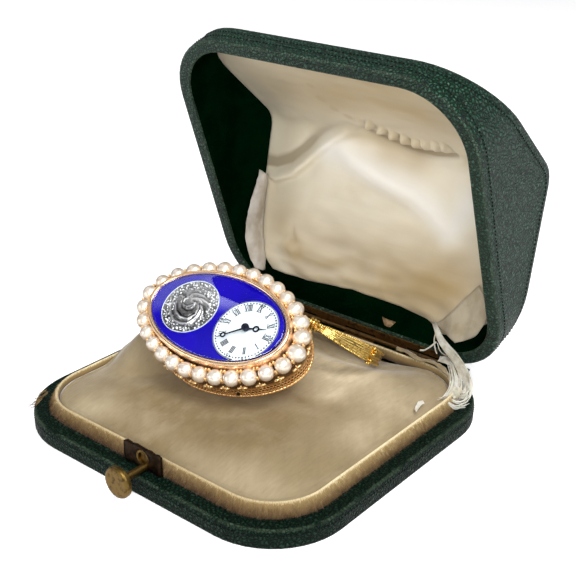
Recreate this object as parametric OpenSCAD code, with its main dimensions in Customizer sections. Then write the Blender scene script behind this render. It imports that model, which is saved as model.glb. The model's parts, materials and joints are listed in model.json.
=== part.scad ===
// Ring watch with a pearl border, propped in an open leather ring box.
// X runs along the box's hinge, +Y to the back, +Z up. The origin is the middle of the base's underside.

/* [Box] */
// Width of the box along its hinge
box_w = 60; // [56:1:64]
// Depth of the base from front to back
base_d = 57.8; // [56:0.1:60]
// Height of the base board
base_h = 3.2; // [3:0.1:4]
// Radius of the box's upright corners
corner_r = 12.8; // [10:0.1:14]
// Width of the leather ledge round the collar
ledge_w = 2.6; // [2:0.1:3]
// Height of the collar's rim above the ground
collar_top = 5.3; // [4.5:0.1:6]
// Lean of the collar's outer face
collar_lean = 1.05; // [0.5:0.05:1.4]
// Inset of the collar's inner face from the base's edge
collar_in = 4.1; // [4:0.1:4.6]

/* [Lid] */
// Depth of the lid from the hinge end to the front
lid_d = 57; // [55:0.5:58]
// Width of the lid's rim
lid_wall = 2.36; // [1.8:0.02:2.8]
// Height of the roof ridge above the rim
ridge_h = 20.8; // [18:0.1:23]
// Distance of the roof ridge from the hinge end
ridge_t = 30.25; // [28:0.25:33]
// Height of the lid's front wall
front_h = 5.3; // [4:0.1:7]
// Height of the lid's hinge wall
back_h = 3.5; // [2.5:0.1:5]
// Thickness of the roof
roof_wall = 1.8; // [1.2:0.1:2.4]
// Thickness of the satin lining
lining_t = 1.1; // [1:0.1:1.5]
// Angle by which the lid stands open
lid_open = 70.6; // [40:0.1:90]

/* [Hinge] */
// Distance of the hinge line behind the middle
hinge_y = 29.6; // [29.6:0.1:30]
// Height of the hinge line
hinge_z = 3.6; // [3.6:0.1:4]
// Length of the hinge
hinge_len = 34; // [24:1:34]
// Radius of the hinge knuckles
knuckle_r = 0.6; // [0.5:0.05:0.6]
// Radius of the hinge pin
pin_r = 0.26; // [0.2:0.02:0.3]

/* [Catch] */
// Middle of the catch plate along X
catch_x = 1; // [-2:0.5:3]
// Width of the catch plate
catch_w = 7.8; // [6:0.1:9]
// Top of the catch plate above the ground
catch_top = 6.7; // [6.4:0.1:7.4]
// Radius of the hole in the catch plate
eye_r = 1.3; // [1.1:0.05:1.4]
// Radius of the push button
button_r = 2.5; // [2:0.1:2.8]
// Distance of the push button's face in front of the middle
button_y = 32.75; // [32:0.05:34]

/* [Watch] */
// Middle of the pearl border
watch_at = [-4.5, -3.7, 17];
// Turns of the watch about X, Y and Z
watch_turn = [33.3, 2, 1.55];
// Half length of the line of pearls
pearl_a = 15.5; // [15:0.1:16]
// Half width of the line of pearls
pearl_b = 9.75; // [9.5:0.05:10]
// Fullness of the border's outline, 2 being an ellipse
border_power = 1.84; // [1.7:0.02:2]
// Number of pearls
pearl_n = 28; // [28:1:28]
// Radius of a pearl
pearl_r = 1.3; // [1.2:0.02:1.34]
// Depth of the case below the pearls' middles
case_h = 5.2; // [4.8:0.1:5.6]
// Half length of the blue enamel
enamel_a = 13.1; // [12.8:0.05:13.2]
// Half width of the blue enamel
enamel_b = 7.45; // [7.3:0.05:7.5]
// Height of the enamel above the pearls' middles
enamel_top = 1.15; // [1:0.05:1.2]

/* [Dial and roundel] */
// Middle of the dial along the face
dial_x = 6.1; // [6:0.05:6.2]
// Radius of the dial
dial_r = 5.78; // [5.7:0.02:5.94]
// Middle of the roundel along the face
roundel_x = -5.8; // [-5.9:0.05:-5.7]
// Radius of the roundel
roundel_r = 5.03; // [4.9:0.01:5.05]
// Number of stones in the roundel's ring
stone_n = 22; // [18:1:24]
// Minutes shown
minute_shown = 23; // [0:1:59]
// Hours shown
hour_shown = 11; // [0:1:11]

/* [Shank] */
// Middle of the hoop
hoop_at = [2.65, 15.28, 10.41];
// Turns of the hoop about X and Y
hoop_turn = [-35.8, 7.4, 0];
// Outer radius of the hoop
hoop_r = 10.5; // [10:0.1:11]
// Thickness of the hoop
hoop_t = 1.1; // [0.9:0.1:1.4]
// Width of the hoop's band
hoop_w = 1.9; // [1.6:0.1:2.2]

/* [Hidden] */
function pearl_name(k) = str("pearl_", k < 9 ? "0" : "", k + 1);

leather = "#14402f";
velvet = "#b59a63";
pad_cloth = "#a79672";
satin = "#e6d5b8";
bronze = "#54422c";
brass = "#a8883e";
rose_gold = "#d99b6c";
yellow_gold = "#d8a93a";
silver = "#a9a9a6";
pearl_white = "#efe4d8";

gap = 0.05;
cup_gap = 0.06;
back = base_d / 2;
lid_back = 28.9;
rim_z = hinge_z;

// Plan of the box: a rectangle with round corners, in whole plates

module round_plan(w, d, r) {
  square([w, d - 2 * r], center = true);
  square([w - 2 * r, d], center = true);
  for (sx = [-1, 1], sy = [-1, 1])
    translate([sx * (w / 2 - r), sy * (d / 2 - r)]) circle(r, $fn = 96);
}

module round_plate(w, d, r, h) {
  linear_extrude(h) round_plan(w, d, r);
}

// The same plan as a list of points, for the leaning and crowned pieces

corner_steps = 8;
side_steps = 7;

function corner_point(w, d, r, q, turn) =
  let (sx = (q == 0 || q == 3) ? 1 : -1, sy = q < 2 ? 1 : -1)
  [sx * (w / 2 - r) + r * cos(turn), sy * (d / 2 - r) + r * sin(turn)];

function round_path(w, d, r, sides = 1) = [
  for (q = [0 : 3])
    let (
      last = corner_point(w, d, r, q, 90 * (q + 1)),
      next = corner_point(w, d, r, (q + 1) % 4, 90 * (q + 1))
    )
    each concat(
      [for (s = [0 : corner_steps]) corner_point(w, d, r, q, 90 * q + 90 * s / corner_steps)],
      [for (s = [1 : 1 : sides - 1]) last + (next - last) * s / sides]
    )
];

function lift(path, z) = [for (p = path) [p[0], p[1], z]];

// Skin over a stack of rings that have the same number of points. A closed stack joins its last ring
// to its first, and an open one gets a flat face on its first and last ring.

module loft(rings, closed = false) {
  n = len(rings[0]);
  m = len(rings);
  sides = [
    for (k = [0 : m - (closed ? 1 : 2)], i = [0 : n - 1])
      let (a = k * n, b = ((k + 1) % m) * n, j = (i + 1) % n)
      each [[a + i, b + i, b + j], [a + i, b + j, a + j]]
  ];
  ends = closed ? [] : [[for (i = [0 : n - 1]) i], [for (i = [n - 1 : -1 : 0]) (m - 1) * n + i]];
  polyhedron([for (r = rings) each r], concat(sides, ends));
}

// Box base

base_foot = 1;

module box_base() {
  color(leather)
  difference() {
    round_plate(box_w, base_d, corner_r, base_h);
    translate([0, 0, base_foot])
      round_plate(box_w - 2 * collar_in, base_d - 2 * collar_in, corner_r - collar_in, base_h);
  }
}

module collar() {
  wide = box_w - 2 * ledge_w;
  deep = base_d - 2 * ledge_w;
  r = corner_r - ledge_w;
  inner = collar_in - ledge_w;
  crest = collar_top - 0.25;
  color(velvet)
    loft(closed = true, rings = [
      lift(round_path(wide - 2 * inner, deep - 2 * inner, r - inner), base_h),
      lift(round_path(wide - 2 * inner, deep - 2 * inner, r - inner), crest),
      lift(round_path(wide - 2.6, deep - 2.6, r - 1.3), collar_top),
      lift(round_path(wide - 2 * collar_lean, deep - 2 * collar_lean, r - collar_lean), crest),
      lift(round_path(wide, deep, r), base_h)
    ]);
}

// Pad: a crowned cushion with a rise under the watch and a dip where the hoop is tucked in

pad_gap = 0.12;
pad_edge_z = 4.5;
pad_crown_z = 6.98;
pad_crown_y = -9;
rise_at = [-5, 3];
rise_z = 1.4;
dip_at = [3.9, 22];
dip_half = [14.5, 8.5];
dip_z = 2.1;
pad_rings = 14;

function bell(x, y, at, half) =
  let (u = (x - at[0]) / half[0], v = (y - at[1]) / half[1], q = u * u + v * v)
  q < 1 ? pow(1 - q, 1.5) : 0;

function pad_height(x, y, s) =
  pad_edge_z
  + (pad_crown_z - pad_edge_z) * (1 - pow(s, 4)) * (1 - 0.12 * pow((y - pad_crown_y) / 30, 2))
  + rise_z * bell(x, y, rise_at, [16, 12])
  - dip_z * bell(x, y, dip_at, dip_half);

module pad() {
  w = box_w - 2 * collar_in - 2 * pad_gap;
  d = base_d - 2 * collar_in - 2 * pad_gap;
  edge = round_path(w, d, corner_r - collar_in - pad_gap, side_steps);
  color(pad_cloth)
    loft([
      lift(edge, base_foot + gap),
      for (k = [pad_rings : -1 : 1])
        let (s = k / pad_rings)
        [for (p = edge) [s * p[0], s * p[1], pad_height(s * p[0], s * p[1], s)]],
      [for (p = edge) [0.02 * p[0], 0.02 * p[1], pad_height(0, 0, 0)]]
    ]);
}

// Catch: a bronze plate in front of the collar, its brass eye and the push button

catch_t = 0.6;
catch_face = -back + ledge_w - catch_t;
eye_at = [1.2, 5.1];
stem_r = 0.6;
stem_z = 3.85;
button_t = 1.1;

module catch_plate() {
  color(bronze)
  difference() {
    translate([catch_x - catch_w / 2, catch_face, base_h])
      cube([catch_w, catch_t, catch_top - base_h]);
    translate([eye_at[0], catch_face - 1, eye_at[1]])
      rotate([-90, 0, 0]) cylinder(h = catch_t + 2, r = eye_r, $fn = 48);
  }
}

module catch_eye() {
  color(brass)
  translate([eye_at[0], catch_face, eye_at[1]])
    rotate([-90, 0, 0])
    difference() {
      cylinder(h = catch_t, r = eye_r - 0.01, $fn = 48);
      translate([0, 0, -1]) cylinder(h = catch_t + 0.8, r = eye_r - 0.35, $fn = 48);
    }
}

module button() {
  color(brass)
  translate([1.7, -button_y, stem_z])
    rotate([-90, 0, 0])
    union() {
      rotate_extrude($fn = 72)
        polygon([
          [0, 0], [button_r - 0.5, 0], [button_r - 0.15, 0.12], [button_r, 0.4],
          [button_r, button_t - 0.2], [button_r - 0.2, button_t], [0, button_t]
        ]);
      cylinder(h = button_y + catch_face, r = stem_r, $fn = 36);
      translate([0, 0, button_t]) cylinder(h = 0.5, r = 1, $fn = 36);
    }
}

// Hinge: a brass leaf and three knuckles on the base, a leaf and two knuckles on the lid

knuckle_n = 5;
knuckle_gap = 0.08;
leaf_t = 0.19;
knuckle_len = (hinge_len - (knuckle_n - 1) * knuckle_gap) / knuckle_n;

function knuckle_x(k) = -hinge_len / 2 + k * (knuckle_len + knuckle_gap);

module knuckles(first, bore) {
  for (k = [first : 2 : knuckle_n - 1])
    translate([knuckle_x(k), hinge_y, hinge_z])
      rotate([0, 90, 0])
      difference() {
        cylinder(h = knuckle_len, r = knuckle_r, $fn = 36);
        translate([0, 0, -1]) cylinder(h = knuckle_len + 2, r = bore, $fn = 36);
      }
}

leaf_front = back - 1.9;
leaf_back = back - 0.4;

module leaf(first, z) {
  translate([-hinge_len / 2, leaf_front, z])
    cube([hinge_len, leaf_back - leaf_front, leaf_t]);
  for (k = [first : 2 : knuckle_n - 1])
    translate([knuckle_x(k), leaf_front, z])
      cube([knuckle_len, hinge_y - knuckle_r + 0.18 - leaf_front, leaf_t]);
}

module hinge_base() {
  color(brass)
  union() {
    knuckles(0, pin_r - 0.01);
    leaf(0, base_h);
    translate([-hinge_len / 2, hinge_y, hinge_z])
      rotate([0, 90, 0]) cylinder(h = hinge_len, r = pin_r, $fn = 36);
  }
}

// The lid's pieces are drawn closed and turned open about the hinge line

module opened() {
  translate([0, hinge_y, hinge_z])
    rotate([-lid_open, 0, 0])
    translate([0, -hinge_y, -hinge_z]) children();
}

module hinge_lid() {
  color(brass)
  opened()
    union() {
      knuckles(1, pin_r + 0.05);
      leaf(1, rim_z - leaf_t);
    }
}

// Lid: the box's plan cut by a roof with a ridge along X

function roof_line(drop, inset) = [
  [lid_back - inset, rim_z - 1],
  [lid_back - inset, rim_z + back_h - drop],
  [lid_back - ridge_t + 2.4, rim_z + ridge_h - drop - 1.25],
  [lid_back - ridge_t + 0.9, rim_z + ridge_h - drop - 0.35],
  [lid_back - ridge_t - 0.9, rim_z + ridge_h - drop - 0.3],
  [lid_back - ridge_t - 2.4, rim_z + ridge_h - drop - 1.2],
  [lid_back - lid_d + inset, rim_z + front_h - drop],
  [lid_back - lid_d + inset, rim_z - 1]
];

module along_x(width, outline) {
  translate([-width / 2, 0, 0])
    rotate([90, 0, 90]) linear_extrude(width) polygon(outline);
}

module lid_form(inset, drop, low) {
  intersection() {
    translate([0, lid_back - lid_d / 2, low])
      round_plate(box_w - 2 * inset, lid_d - 2 * inset, corner_r - inset, ridge_h + 3);
    along_x(box_w, roof_line(drop, inset));
  }
}

module lid_shell() {
  color(leather)
  opened()
  difference() {
    lid_form(0, 0, rim_z);
    lid_form(lid_wall, roof_wall, rim_z - 1);
  }
}

lining_gap = 0.1;
lining_back = 7;

module lid_lining() {
  under = roof_wall + lining_gap;
  deep = under + lining_t;
  color(satin)
  opened()
  intersection() {
    translate([0, lid_back - lid_d / 2, rim_z])
      round_plate(
        box_w - 2 * lid_wall - 2 * lining_gap,
        lid_d - 2 * lid_wall - 2 * lining_gap,
        corner_r - lid_wall - lining_gap,
        ridge_h
      );
    difference() {
      along_x(box_w, roof_line(under, lid_wall));
      along_x(box_w + 2, roof_line(deep, lid_wall - 1));
    }
    translate([-box_w / 2, -40, 0]) cube([box_w, 40 + lid_back - lining_back, 40]);
  }
}

// Watch: ovals in the watch's own plane, with the pearls' middles at height 0

function signed_pow(v, p) = sign(v) * pow(abs(v), p);

function oval_point(a, b, power, turn) =
  [a * signed_pow(cos(turn), 2 / power), b * signed_pow(sin(turn), 2 / power)];

function oval(a, b, power = 2, steps = 96) =
  [for (k = [0 : steps - 1]) oval_point(a, b, power, 360 * k / steps)];

module on_watch() {
  translate(watch_at) rotate(watch_turn) children();
}

// Pearls lie at equal steps along the border's line

line_steps = 360;
LINE = [for (k = [0 : line_steps]) oval_point(pearl_a, pearl_b, border_power, 360 * k / line_steps)];
RUN = [
  for (
    k = 0, s = 0;
    k <= line_steps;
    k = k + 1, s = s + (k <= line_steps ? norm(LINE[k] - LINE[k - 1]) : 0)
  ) [s, 360 * k / line_steps]
];
line_len = RUN[line_steps][0];

function border_turn(k) = lookup(line_len * ((k / pearl_n + 1) % 1), RUN);
function border_at(k) = oval_point(pearl_a, pearl_b, border_power, border_turn(k));
function border_out(k) =
  let (
    e = 1 / pearl_n,
    ahead = border_at(k + e),
    behind = border_at(k - e),
    d = (ahead - behind) / norm(ahead - behind)
  )
  [d[1], -d[0]];

module pearl(k) {
  at = border_at(k);
  color(pearl_white)
    on_watch() translate([at[0], at[1], 0]) sphere(pearl_r, $fn = 48);
}

// Case: plain edge, stamped band, moulding and pearl tray, with bead claws between the pearls

edge_a = 16;
edge_b = 10.2;
band_in = 0.45;
tray_z = -0.5;
tray_out = 0.2;
claw_r = 0.34;
claw_out = 0.62;
well_a = 12.6;
well_b = 7;
well_z = -0.6;

module oval_plate(a, b, power, low, high) {
  translate([0, 0, low]) linear_extrude(high - low) polygon(oval(a, b, power));
}

module watch_case() {
  color(rose_gold)
  on_watch()
  difference() {
    union() {
      oval_plate(edge_a - 0.3, edge_b - 0.3, border_power, -case_h, -case_h + 0.3);
      oval_plate(edge_a, edge_b, border_power, -case_h + 0.3, -case_h + 1);
      oval_plate(edge_a - band_in, edge_b - band_in, border_power, -case_h + 1, -2.3);
      oval_plate(edge_a, edge_b, border_power, -2.3, -1.9);
      oval_plate(edge_a - 0.15, edge_b - 0.15, border_power, -1.9, -1.1);
      oval_plate(edge_a + tray_out, edge_b + tray_out, border_power, -1.1, tray_z);
      for (k = [0 : pearl_n - 1])
        for (side = [-1, 1])
          let (at = border_at(k + 0.5) + side * claw_out * border_out(k + 0.5))
          translate([at[0], at[1], tray_z - 0.2]) cylinder(h = 0.85, r = claw_r, $fn = 16);
    }
    for (k = [0 : pearl_n - 1])
      let (at = border_at(k))
      translate([at[0], at[1], 0]) sphere(pearl_r + cup_gap, $fn = 48);
    oval_plate(well_a, well_b, 2, well_z, 3);
  }
}

// Bezel: a rim that stands on the tray inside the pearls

bezel_a = 13.85;
bezel_b = 8.2;
bezel_top = 1.7;

module bezel() {
  color(rose_gold)
  on_watch()
  difference() {
    union() {
      oval_plate(bezel_a, bezel_b, 2, tray_z, bezel_top - 0.35);
      oval_plate(bezel_a - 0.2, bezel_b - 0.2, 2, bezel_top - 0.35, bezel_top);
    }
    oval_plate(enamel_a + gap, enamel_b + gap, 2, tray_z - 1, bezel_top + 1);
    for (k = [0 : pearl_n - 1])
      let (at = border_at(k))
      translate([at[0], at[1], 0]) sphere(pearl_r + cup_gap, $fn = 48);
  }
}

module enamel_panel() {
  color("#2420a8")
  on_watch()
  difference() {
    union() {
      oval_plate(enamel_a, enamel_b, 2, tray_z, enamel_top);
      oval_plate(well_a - gap, well_b - gap, 2, well_z, tray_z + 0.2);
    }
    translate([dial_x, 0, 0.2]) cylinder(h = 3, r = dial_r + 0.02, $fn = 96);
    translate([roundel_x, 0, 0.2]) cylinder(h = 3, r = roundel_r + 0.02, $fn = 96);
  }
}

// Crystal: a glass dome that stands on the edge of the dial and the enamel

glass_rise = 1.15;
glass_edge = 1.6;
glass_rings = 6;
dial_top = 1.2;

function glass_ring(low, rise, s, shrink) =
  lift(oval(s * (enamel_a - shrink), s * (enamel_b - shrink), 2, 64), low + rise * (1 - s * s));

module crystal() {
  color("#dfe8ee", 0.35)
  on_watch()
  loft([
    glass_ring(glass_edge, glass_rise, 0.02, 0.35),
    for (k = [1 : glass_rings]) glass_ring(glass_edge, glass_rise, k / glass_rings, 0.35),
    glass_ring(dial_top + 0.02, 0, 1, 0.35),
    glass_ring(dial_top + 0.02, 0, 1, 0),
    for (k = [glass_rings : -1 : 1]) glass_ring(glass_edge + 0.3, glass_rise + 0.05, k / glass_rings, 0),
    glass_ring(glass_edge + 0.3, glass_rise + 0.05, 0.02, 0)
  ]);
}

// Dial and hands

arbor_r = 0.2;
hub_r = 0.62;
hub_top = dial_top + 1.15;

module dial() {
  color("#f4f3ee")
  on_watch()
  translate([dial_x, 0, 0.22])
  difference() {
    cylinder(h = dial_top - 0.22, r = dial_r, $fn = 96);
    translate([0, 0, -1]) cylinder(h = 3, r = arbor_r + 0.05, $fn = 32);
  }
}

// A hand points along +X before it is turned: a tapered blade with an open ring near its tip

module hand(reach, ring_at, ring_r, wide, low, high, bore) {
  translate([0, 0, low])
  linear_extrude(high - low)
  difference() {
    union() {
      polygon([[0, -wide], [ring_at, -wide * 0.55], [ring_at, wide * 0.55], [0, wide]]);
      translate([ring_at, 0]) circle(ring_r, $fn = 32);
      polygon([[ring_at, -wide * 0.8], [reach, 0], [ring_at, wide * 0.8]]);
      circle(hub_r - 0.08, $fn = 32);
    }
    translate([ring_at, 0]) circle(ring_r * 0.55, $fn = 32);
    circle(bore, $fn = 32);
  }
}

hour_turn = -30 * (hour_shown + minute_shown / 60);
minute_turn = -6 * minute_shown;

module hour_hand() {
  color("#1b1f3a")
  on_watch()
  translate([dial_x, 0, 0]) rotate([0, 0, hour_turn])
    hand(3.5, 1.7, 0.57, 0.17, dial_top + 0.15, dial_top + 0.27, arbor_r + 0.05);
}

module minute_hand() {
  color("#1b1f3a")
  on_watch()
  translate([dial_x, 0, 0]) rotate([0, 0, minute_turn])
    hand(5, 3.8, 0.47, 0.15, dial_top + 0.4, dial_top + 0.5, arbor_r + 0.01);
}

module hub() {
  color("#3a3530")
  on_watch()
  translate([dial_x, 0, 0])
  union() {
    translate([0, 0, 0.5]) cylinder(h = hub_top - 0.6, r = arbor_r, $fn = 32);
    translate([0, 0, dial_top + 0.5]) cylinder(h = 0.35, r = hub_r, $fn = 32);
    translate([0, 0, dial_top + 0.85]) cylinder(h = hub_top - dial_top - 0.85, r1 = hub_r, r2 = hub_r - 0.25, $fn = 32);
  }
}

// Roundel: a silver disc with a ring of rose-cut stones and a spiral rose

stone_r = 0.46;
stone_ring = 4.15;
rose_petals = 9;

module roundel() {
  color(silver)
  on_watch()
  translate([roundel_x, 0, 0.22])
  difference() {
    cylinder(h = 1, r = roundel_r, $fn = 96);
    translate([0, 0, 0.85])
    difference() {
      cylinder(h = 1, r = stone_ring + 0.6, $fn = 96);
      translate([0, 0, -1]) cylinder(h = 3, r = stone_ring - 0.6, $fn = 96);
    }
  }
}

module rose_cut(r) {
  cylinder(h = 0.2, r1 = r, r2 = r * 0.8, $fn = 8);
  translate([0, 0, 0.2]) rotate([0, 0, 22.5]) cylinder(h = 0.14, r1 = r * 0.8, r2 = r * 0.4, $fn = 8);
}

module roundel_stones() {
  color("#d6d8da")
  on_watch()
  for (k = [0 : stone_n - 1])
    let (turn = 360 * k / stone_n)
    translate([roundel_x + stone_ring * cos(turn), stone_ring * sin(turn), 1.09])
      rotate([0, 0, turn]) rose_cut(stone_r);
}

module roundel_rose() {
  color(silver)
  on_watch()
  translate([roundel_x, 0, 1.22])
  union() {
    cylinder(h = 0.1, r = 3.3, $fn = 64);
    for (k = [0 : rose_petals - 1])
      let (turn = 137.5 * k, away = 2.25 * sqrt(k / rose_petals))
      rotate([0, 0, turn]) translate([away, 0, 0])
      difference() {
        cylinder(h = 0.42 - 0.025 * k, r = 0.95, $fn = 32);
        translate([-0.5, 0.25, 0.15]) cylinder(h = 1, r = 0.75, $fn = 32);
      }
  }
}

// Shank: a milled hoop, the neck that carries it under the case, a ribbed collar and a small hook

neck_at = [6, 8.15];
neck_r = 0.8;

module hoop() {
  translate(hoop_at)
  rotate(hoop_turn)
  rotate_extrude($fn = 128)
    polygon([
      [hoop_r - hoop_t, -hoop_w / 2 + 0.15], [hoop_r - hoop_t, hoop_w / 2 - 0.15],
      [hoop_r - 0.2, hoop_w / 2], [hoop_r, hoop_w / 2 - 0.3],
      [hoop_r, -hoop_w / 2 + 0.3], [hoop_r - 0.2, -hoop_w / 2]
    ]);
}

module shank() {
  color(yellow_gold)
  union() {
    hoop();
    on_watch()
      translate([neck_at[0], neck_at[1], -case_h - 1.3]) cylinder(h = 1.3, r = neck_r, $fn = 36);
  }
}

box_base();
collar();
pad();
catch_plate();
catch_eye();
button();
hinge_base();
lid_shell();
lid_lining();
hinge_lid();
watch_case();
bezel();
crystal();
enamel_panel();
dial();
roundel();
roundel_stones();
roundel_rose();
hour_hand();
minute_hand();
hub();
shank();
for (k = [0 : pearl_n - 1])
  pearl(k);
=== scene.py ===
# %% [markdown]
# # Ring watch in its ring box
#
# A ring watch of about 1800: a boat-shaped gold case with a border of half-seen pearls, a royal
# blue enamel face with a small dial and a stone-set roundel, and a milled gold hoop. It is propped
# on the stained pad of a green leather ring box that stands open. The exact pieces come from the
# CAD frame; this script gives them their looks, or puts a finer piece in their place.

import json
import math

import bmesh
import bpy
import numpy as np
from mathutils import Matrix, Vector, noise

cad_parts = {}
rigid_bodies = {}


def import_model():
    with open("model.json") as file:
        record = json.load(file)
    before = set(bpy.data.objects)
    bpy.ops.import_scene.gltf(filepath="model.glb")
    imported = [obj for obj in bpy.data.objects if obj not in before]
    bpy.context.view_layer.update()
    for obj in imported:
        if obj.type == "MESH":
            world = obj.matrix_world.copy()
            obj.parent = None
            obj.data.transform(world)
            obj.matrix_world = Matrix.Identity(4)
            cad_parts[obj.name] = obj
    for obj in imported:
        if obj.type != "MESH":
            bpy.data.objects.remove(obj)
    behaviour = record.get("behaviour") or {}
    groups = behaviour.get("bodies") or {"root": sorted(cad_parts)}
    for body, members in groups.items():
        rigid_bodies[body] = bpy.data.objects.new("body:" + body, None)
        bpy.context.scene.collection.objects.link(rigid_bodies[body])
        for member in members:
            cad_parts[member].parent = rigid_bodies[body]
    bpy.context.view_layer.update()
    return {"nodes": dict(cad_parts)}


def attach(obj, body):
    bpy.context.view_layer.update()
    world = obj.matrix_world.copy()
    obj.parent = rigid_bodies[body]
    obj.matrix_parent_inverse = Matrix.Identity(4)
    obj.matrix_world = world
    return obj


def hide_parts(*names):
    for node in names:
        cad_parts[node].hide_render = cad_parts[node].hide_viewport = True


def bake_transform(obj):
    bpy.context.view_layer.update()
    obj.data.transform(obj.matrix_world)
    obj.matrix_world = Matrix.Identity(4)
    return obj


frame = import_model()
rng = np.random.default_rng(7)
MM, TURN = 0.001, 2 * math.pi

# %% [markdown]
# ## Sizes
#
# They are the part's own sizes in millimetres, so each piece made here lies where its CAD node
# lies. The watch, the hoop and the lid are easiest to make flat and upright; a matrix for each then
# sets it where it stands in the open box.

# %% Sizes in millimetres
BOX_W, BASE_D, CORNER, COLLAR_IN = 60.0, 57.8, 12.8, 4.1
LID_D, LID_BACK, LID_WALL, ROOF_WALL = 57.0, 28.9, 2.36, 1.8
HINGE_Y, HINGE_Z, LID_OPEN = 29.6, 3.6, math.radians(70.6)
PEARL_A, PEARL_B, POWER, PEARL_N, PEARL_R = 15.5, 9.75, 1.84, 28, 1.3
EDGE_A, EDGE_B, ENAMEL_A, ENAMEL_B, DIAL_TOP = 16.0, 10.2, 13.1, 7.45, 1.2
DIAL_X, DIAL_R, ROUNDEL_X = 6.1, 5.78, -5.8
HOOP_AT, HOOP_TURN = Vector((2.65, 15.28, 10.41)), (-35.8, 7.4, 0.0)


def turn_matrix(degrees):
    """The turn that rotate([x, y, z]) makes in the part's source."""
    x, y, z = (math.radians(d) for d in degrees)
    return Matrix.Rotation(z, 4, "Z") @ Matrix.Rotation(y, 4, "Y") @ Matrix.Rotation(x, 4, "X")


WATCH = Matrix.Translation((-4.5, -3.7, 17.0)) @ turn_matrix((33.3, 2.0, 1.55))
HOOP = Matrix.Translation(HOOP_AT) @ turn_matrix(HOOP_TURN)
HINGE = Matrix.Translation((0, HINGE_Y, HINGE_Z))
LID = HINGE @ Matrix.Rotation(-LID_OPEN, 4, "X") @ HINGE.inverted()

# %% [markdown]
# ## Mesh helpers
#
# Nearly every piece of this object is a stack of rings with a skin over them, because boards with
# round corners, a raised case and a turned hoop are all made round one outline. They could be
# modelled by hand from boxes; `loft` was chosen because it follows a measured profile exactly. Its
# UV map has millimetres round and millimetres up the profile, so a pattern on it keeps its true
# size.

# %% Mesh helpers
def link(name, data):
    """Puts a new object with this mesh, light or camera in the scene."""
    obj = bpy.data.objects.new(name, data)
    bpy.context.scene.collection.objects.link(obj)
    return obj


def settled_mesh(obj):
    """A plain mesh of the object as its modifiers leave it."""
    bpy.context.view_layer.update()
    graph = bpy.context.evaluated_depsgraph_get()
    return bpy.data.meshes.new_from_object(obj.evaluated_get(graph), depsgraph=graph)


def finish_mesh(name, points, faces, uvs=None, place=None, smooth=True):
    """A mesh object from points in millimetres, with merged points and outward normals."""
    if place is not None:
        points = [place @ Vector(p) for p in points]
    mesh = bpy.data.meshes.new(name)
    mesh.from_pydata([(p[0] * MM, p[1] * MM, p[2] * MM) for p in points], [], faces)
    if uvs is not None:
        layer = mesh.uv_layers.new(name="UVMap")
        flat = [c for face in uvs for uv in face for c in uv]
        layer.data.foreach_set("uv", flat)
    bm = bmesh.new()
    bm.from_mesh(mesh)
    bmesh.ops.remove_doubles(bm, verts=bm.verts, dist=1e-7)
    bmesh.ops.recalc_face_normals(bm, faces=bm.faces)
    bm.to_mesh(mesh)
    bm.free()
    mesh.polygons.foreach_set("use_smooth", [smooth] * len(mesh.polygons))
    return link(name, mesh)


def loft(name, rings, closed=False, place=None, caps=True):
    """A skin over rings of the same number of points; closed joins the last ring to the first."""
    n, m = len(rings[0]), len(rings)
    points = [p for ring in rings for p in ring]
    first = [Vector(p) for p in rings[m // 2]]
    round_at = [0.0]
    for i in range(n):
        round_at.append(round_at[-1] + (first[(i + 1) % n] - first[i]).length)
    up_at = [0.0]
    for k in range(m):
        up_at.append(up_at[-1] + (Vector(rings[(k + 1) % m][0]) - Vector(rings[k][0])).length)
    faces, uvs = [], []
    for k in range(m if closed else m - 1):
        for i in range(n):
            j, nk = (i + 1) % n, (k + 1) % m
            faces.append((k * n + i, k * n + j, nk * n + j, nk * n + i))
            near, far, low, high = round_at[i], round_at[i + 1], up_at[k], up_at[k + 1]
            uvs.append(((near, low), (far, low), (far, high), (near, high)))
    if caps and not closed:
        for start in (0, (m - 1) * n):
            faces.append(tuple(range(start, start + n)))
            uvs.append(((0, 0),) * n)
    return finish_mesh(name, points, faces, uvs, place)


def sheet_faces(n, m):
    """Faces of a sheet of n by m points with two sides; the second side's points follow the first's."""
    faces = []
    for i in range(n - 1):
        for j in range(m - 1):
            quad = (i * m + j, (i + 1) * m + j, (i + 1) * m + j + 1, i * m + j + 1)
            faces += [quad, tuple(q + n * m for q in reversed(quad))]
    right = [i * m + m - 1 for i in range(1, n)]
    back = [(n - 1) * m + j for j in range(m - 2, -1, -1)]
    left = [i * m for i in range(n - 2, 0, -1)]
    edge = [*range(m), *right, *back, *left]
    return faces + [(a, b, b + n * m, a + n * m) for a, b in zip(edge, edge[1:] + edge[:1])]

# %% [markdown]
# ### Outlines
#
# The box is a rectangle with round corners, and the watch's head is a boat shape between an oval
# and a lozenge: a curve whose power is a little under 2. Both come from a formula, so any inset
# fits.

# %% Outlines
def plan_ring(width, depth, radius, inset=0.0, middle=0.0, corner=12, side=20):
    """Points round a rectangle with round corners, moved in by inset."""
    w, d, r = width / 2 - inset, depth / 2 - inset, max(radius - inset, 0.05)
    centres = [(w - r, d - r), (r - w, d - r), (r - w, r - d), (w - r, r - d)]
    points = []
    for q, (cx, cy) in enumerate(centres):
        for k in range(corner + 1):
            a = math.radians(90 * q + 90 * k / corner)
            points.append((cx + r * math.cos(a), middle + cy + r * math.sin(a)))
        a = math.radians(90 * (q + 1))
        nx, ny = centres[(q + 1) % 4]
        end = (nx + r * math.cos(a), middle + ny + r * math.sin(a))
        start = points[-1]
        for k in range(1, side):
            s = k / side
            points.append((start[0] + (end[0] - start[0]) * s, start[1] + (end[1] - start[1]) * s))
    return points


def flat_ring(ring, z):
    return [(x, y, z) for x, y in ring]


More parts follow.
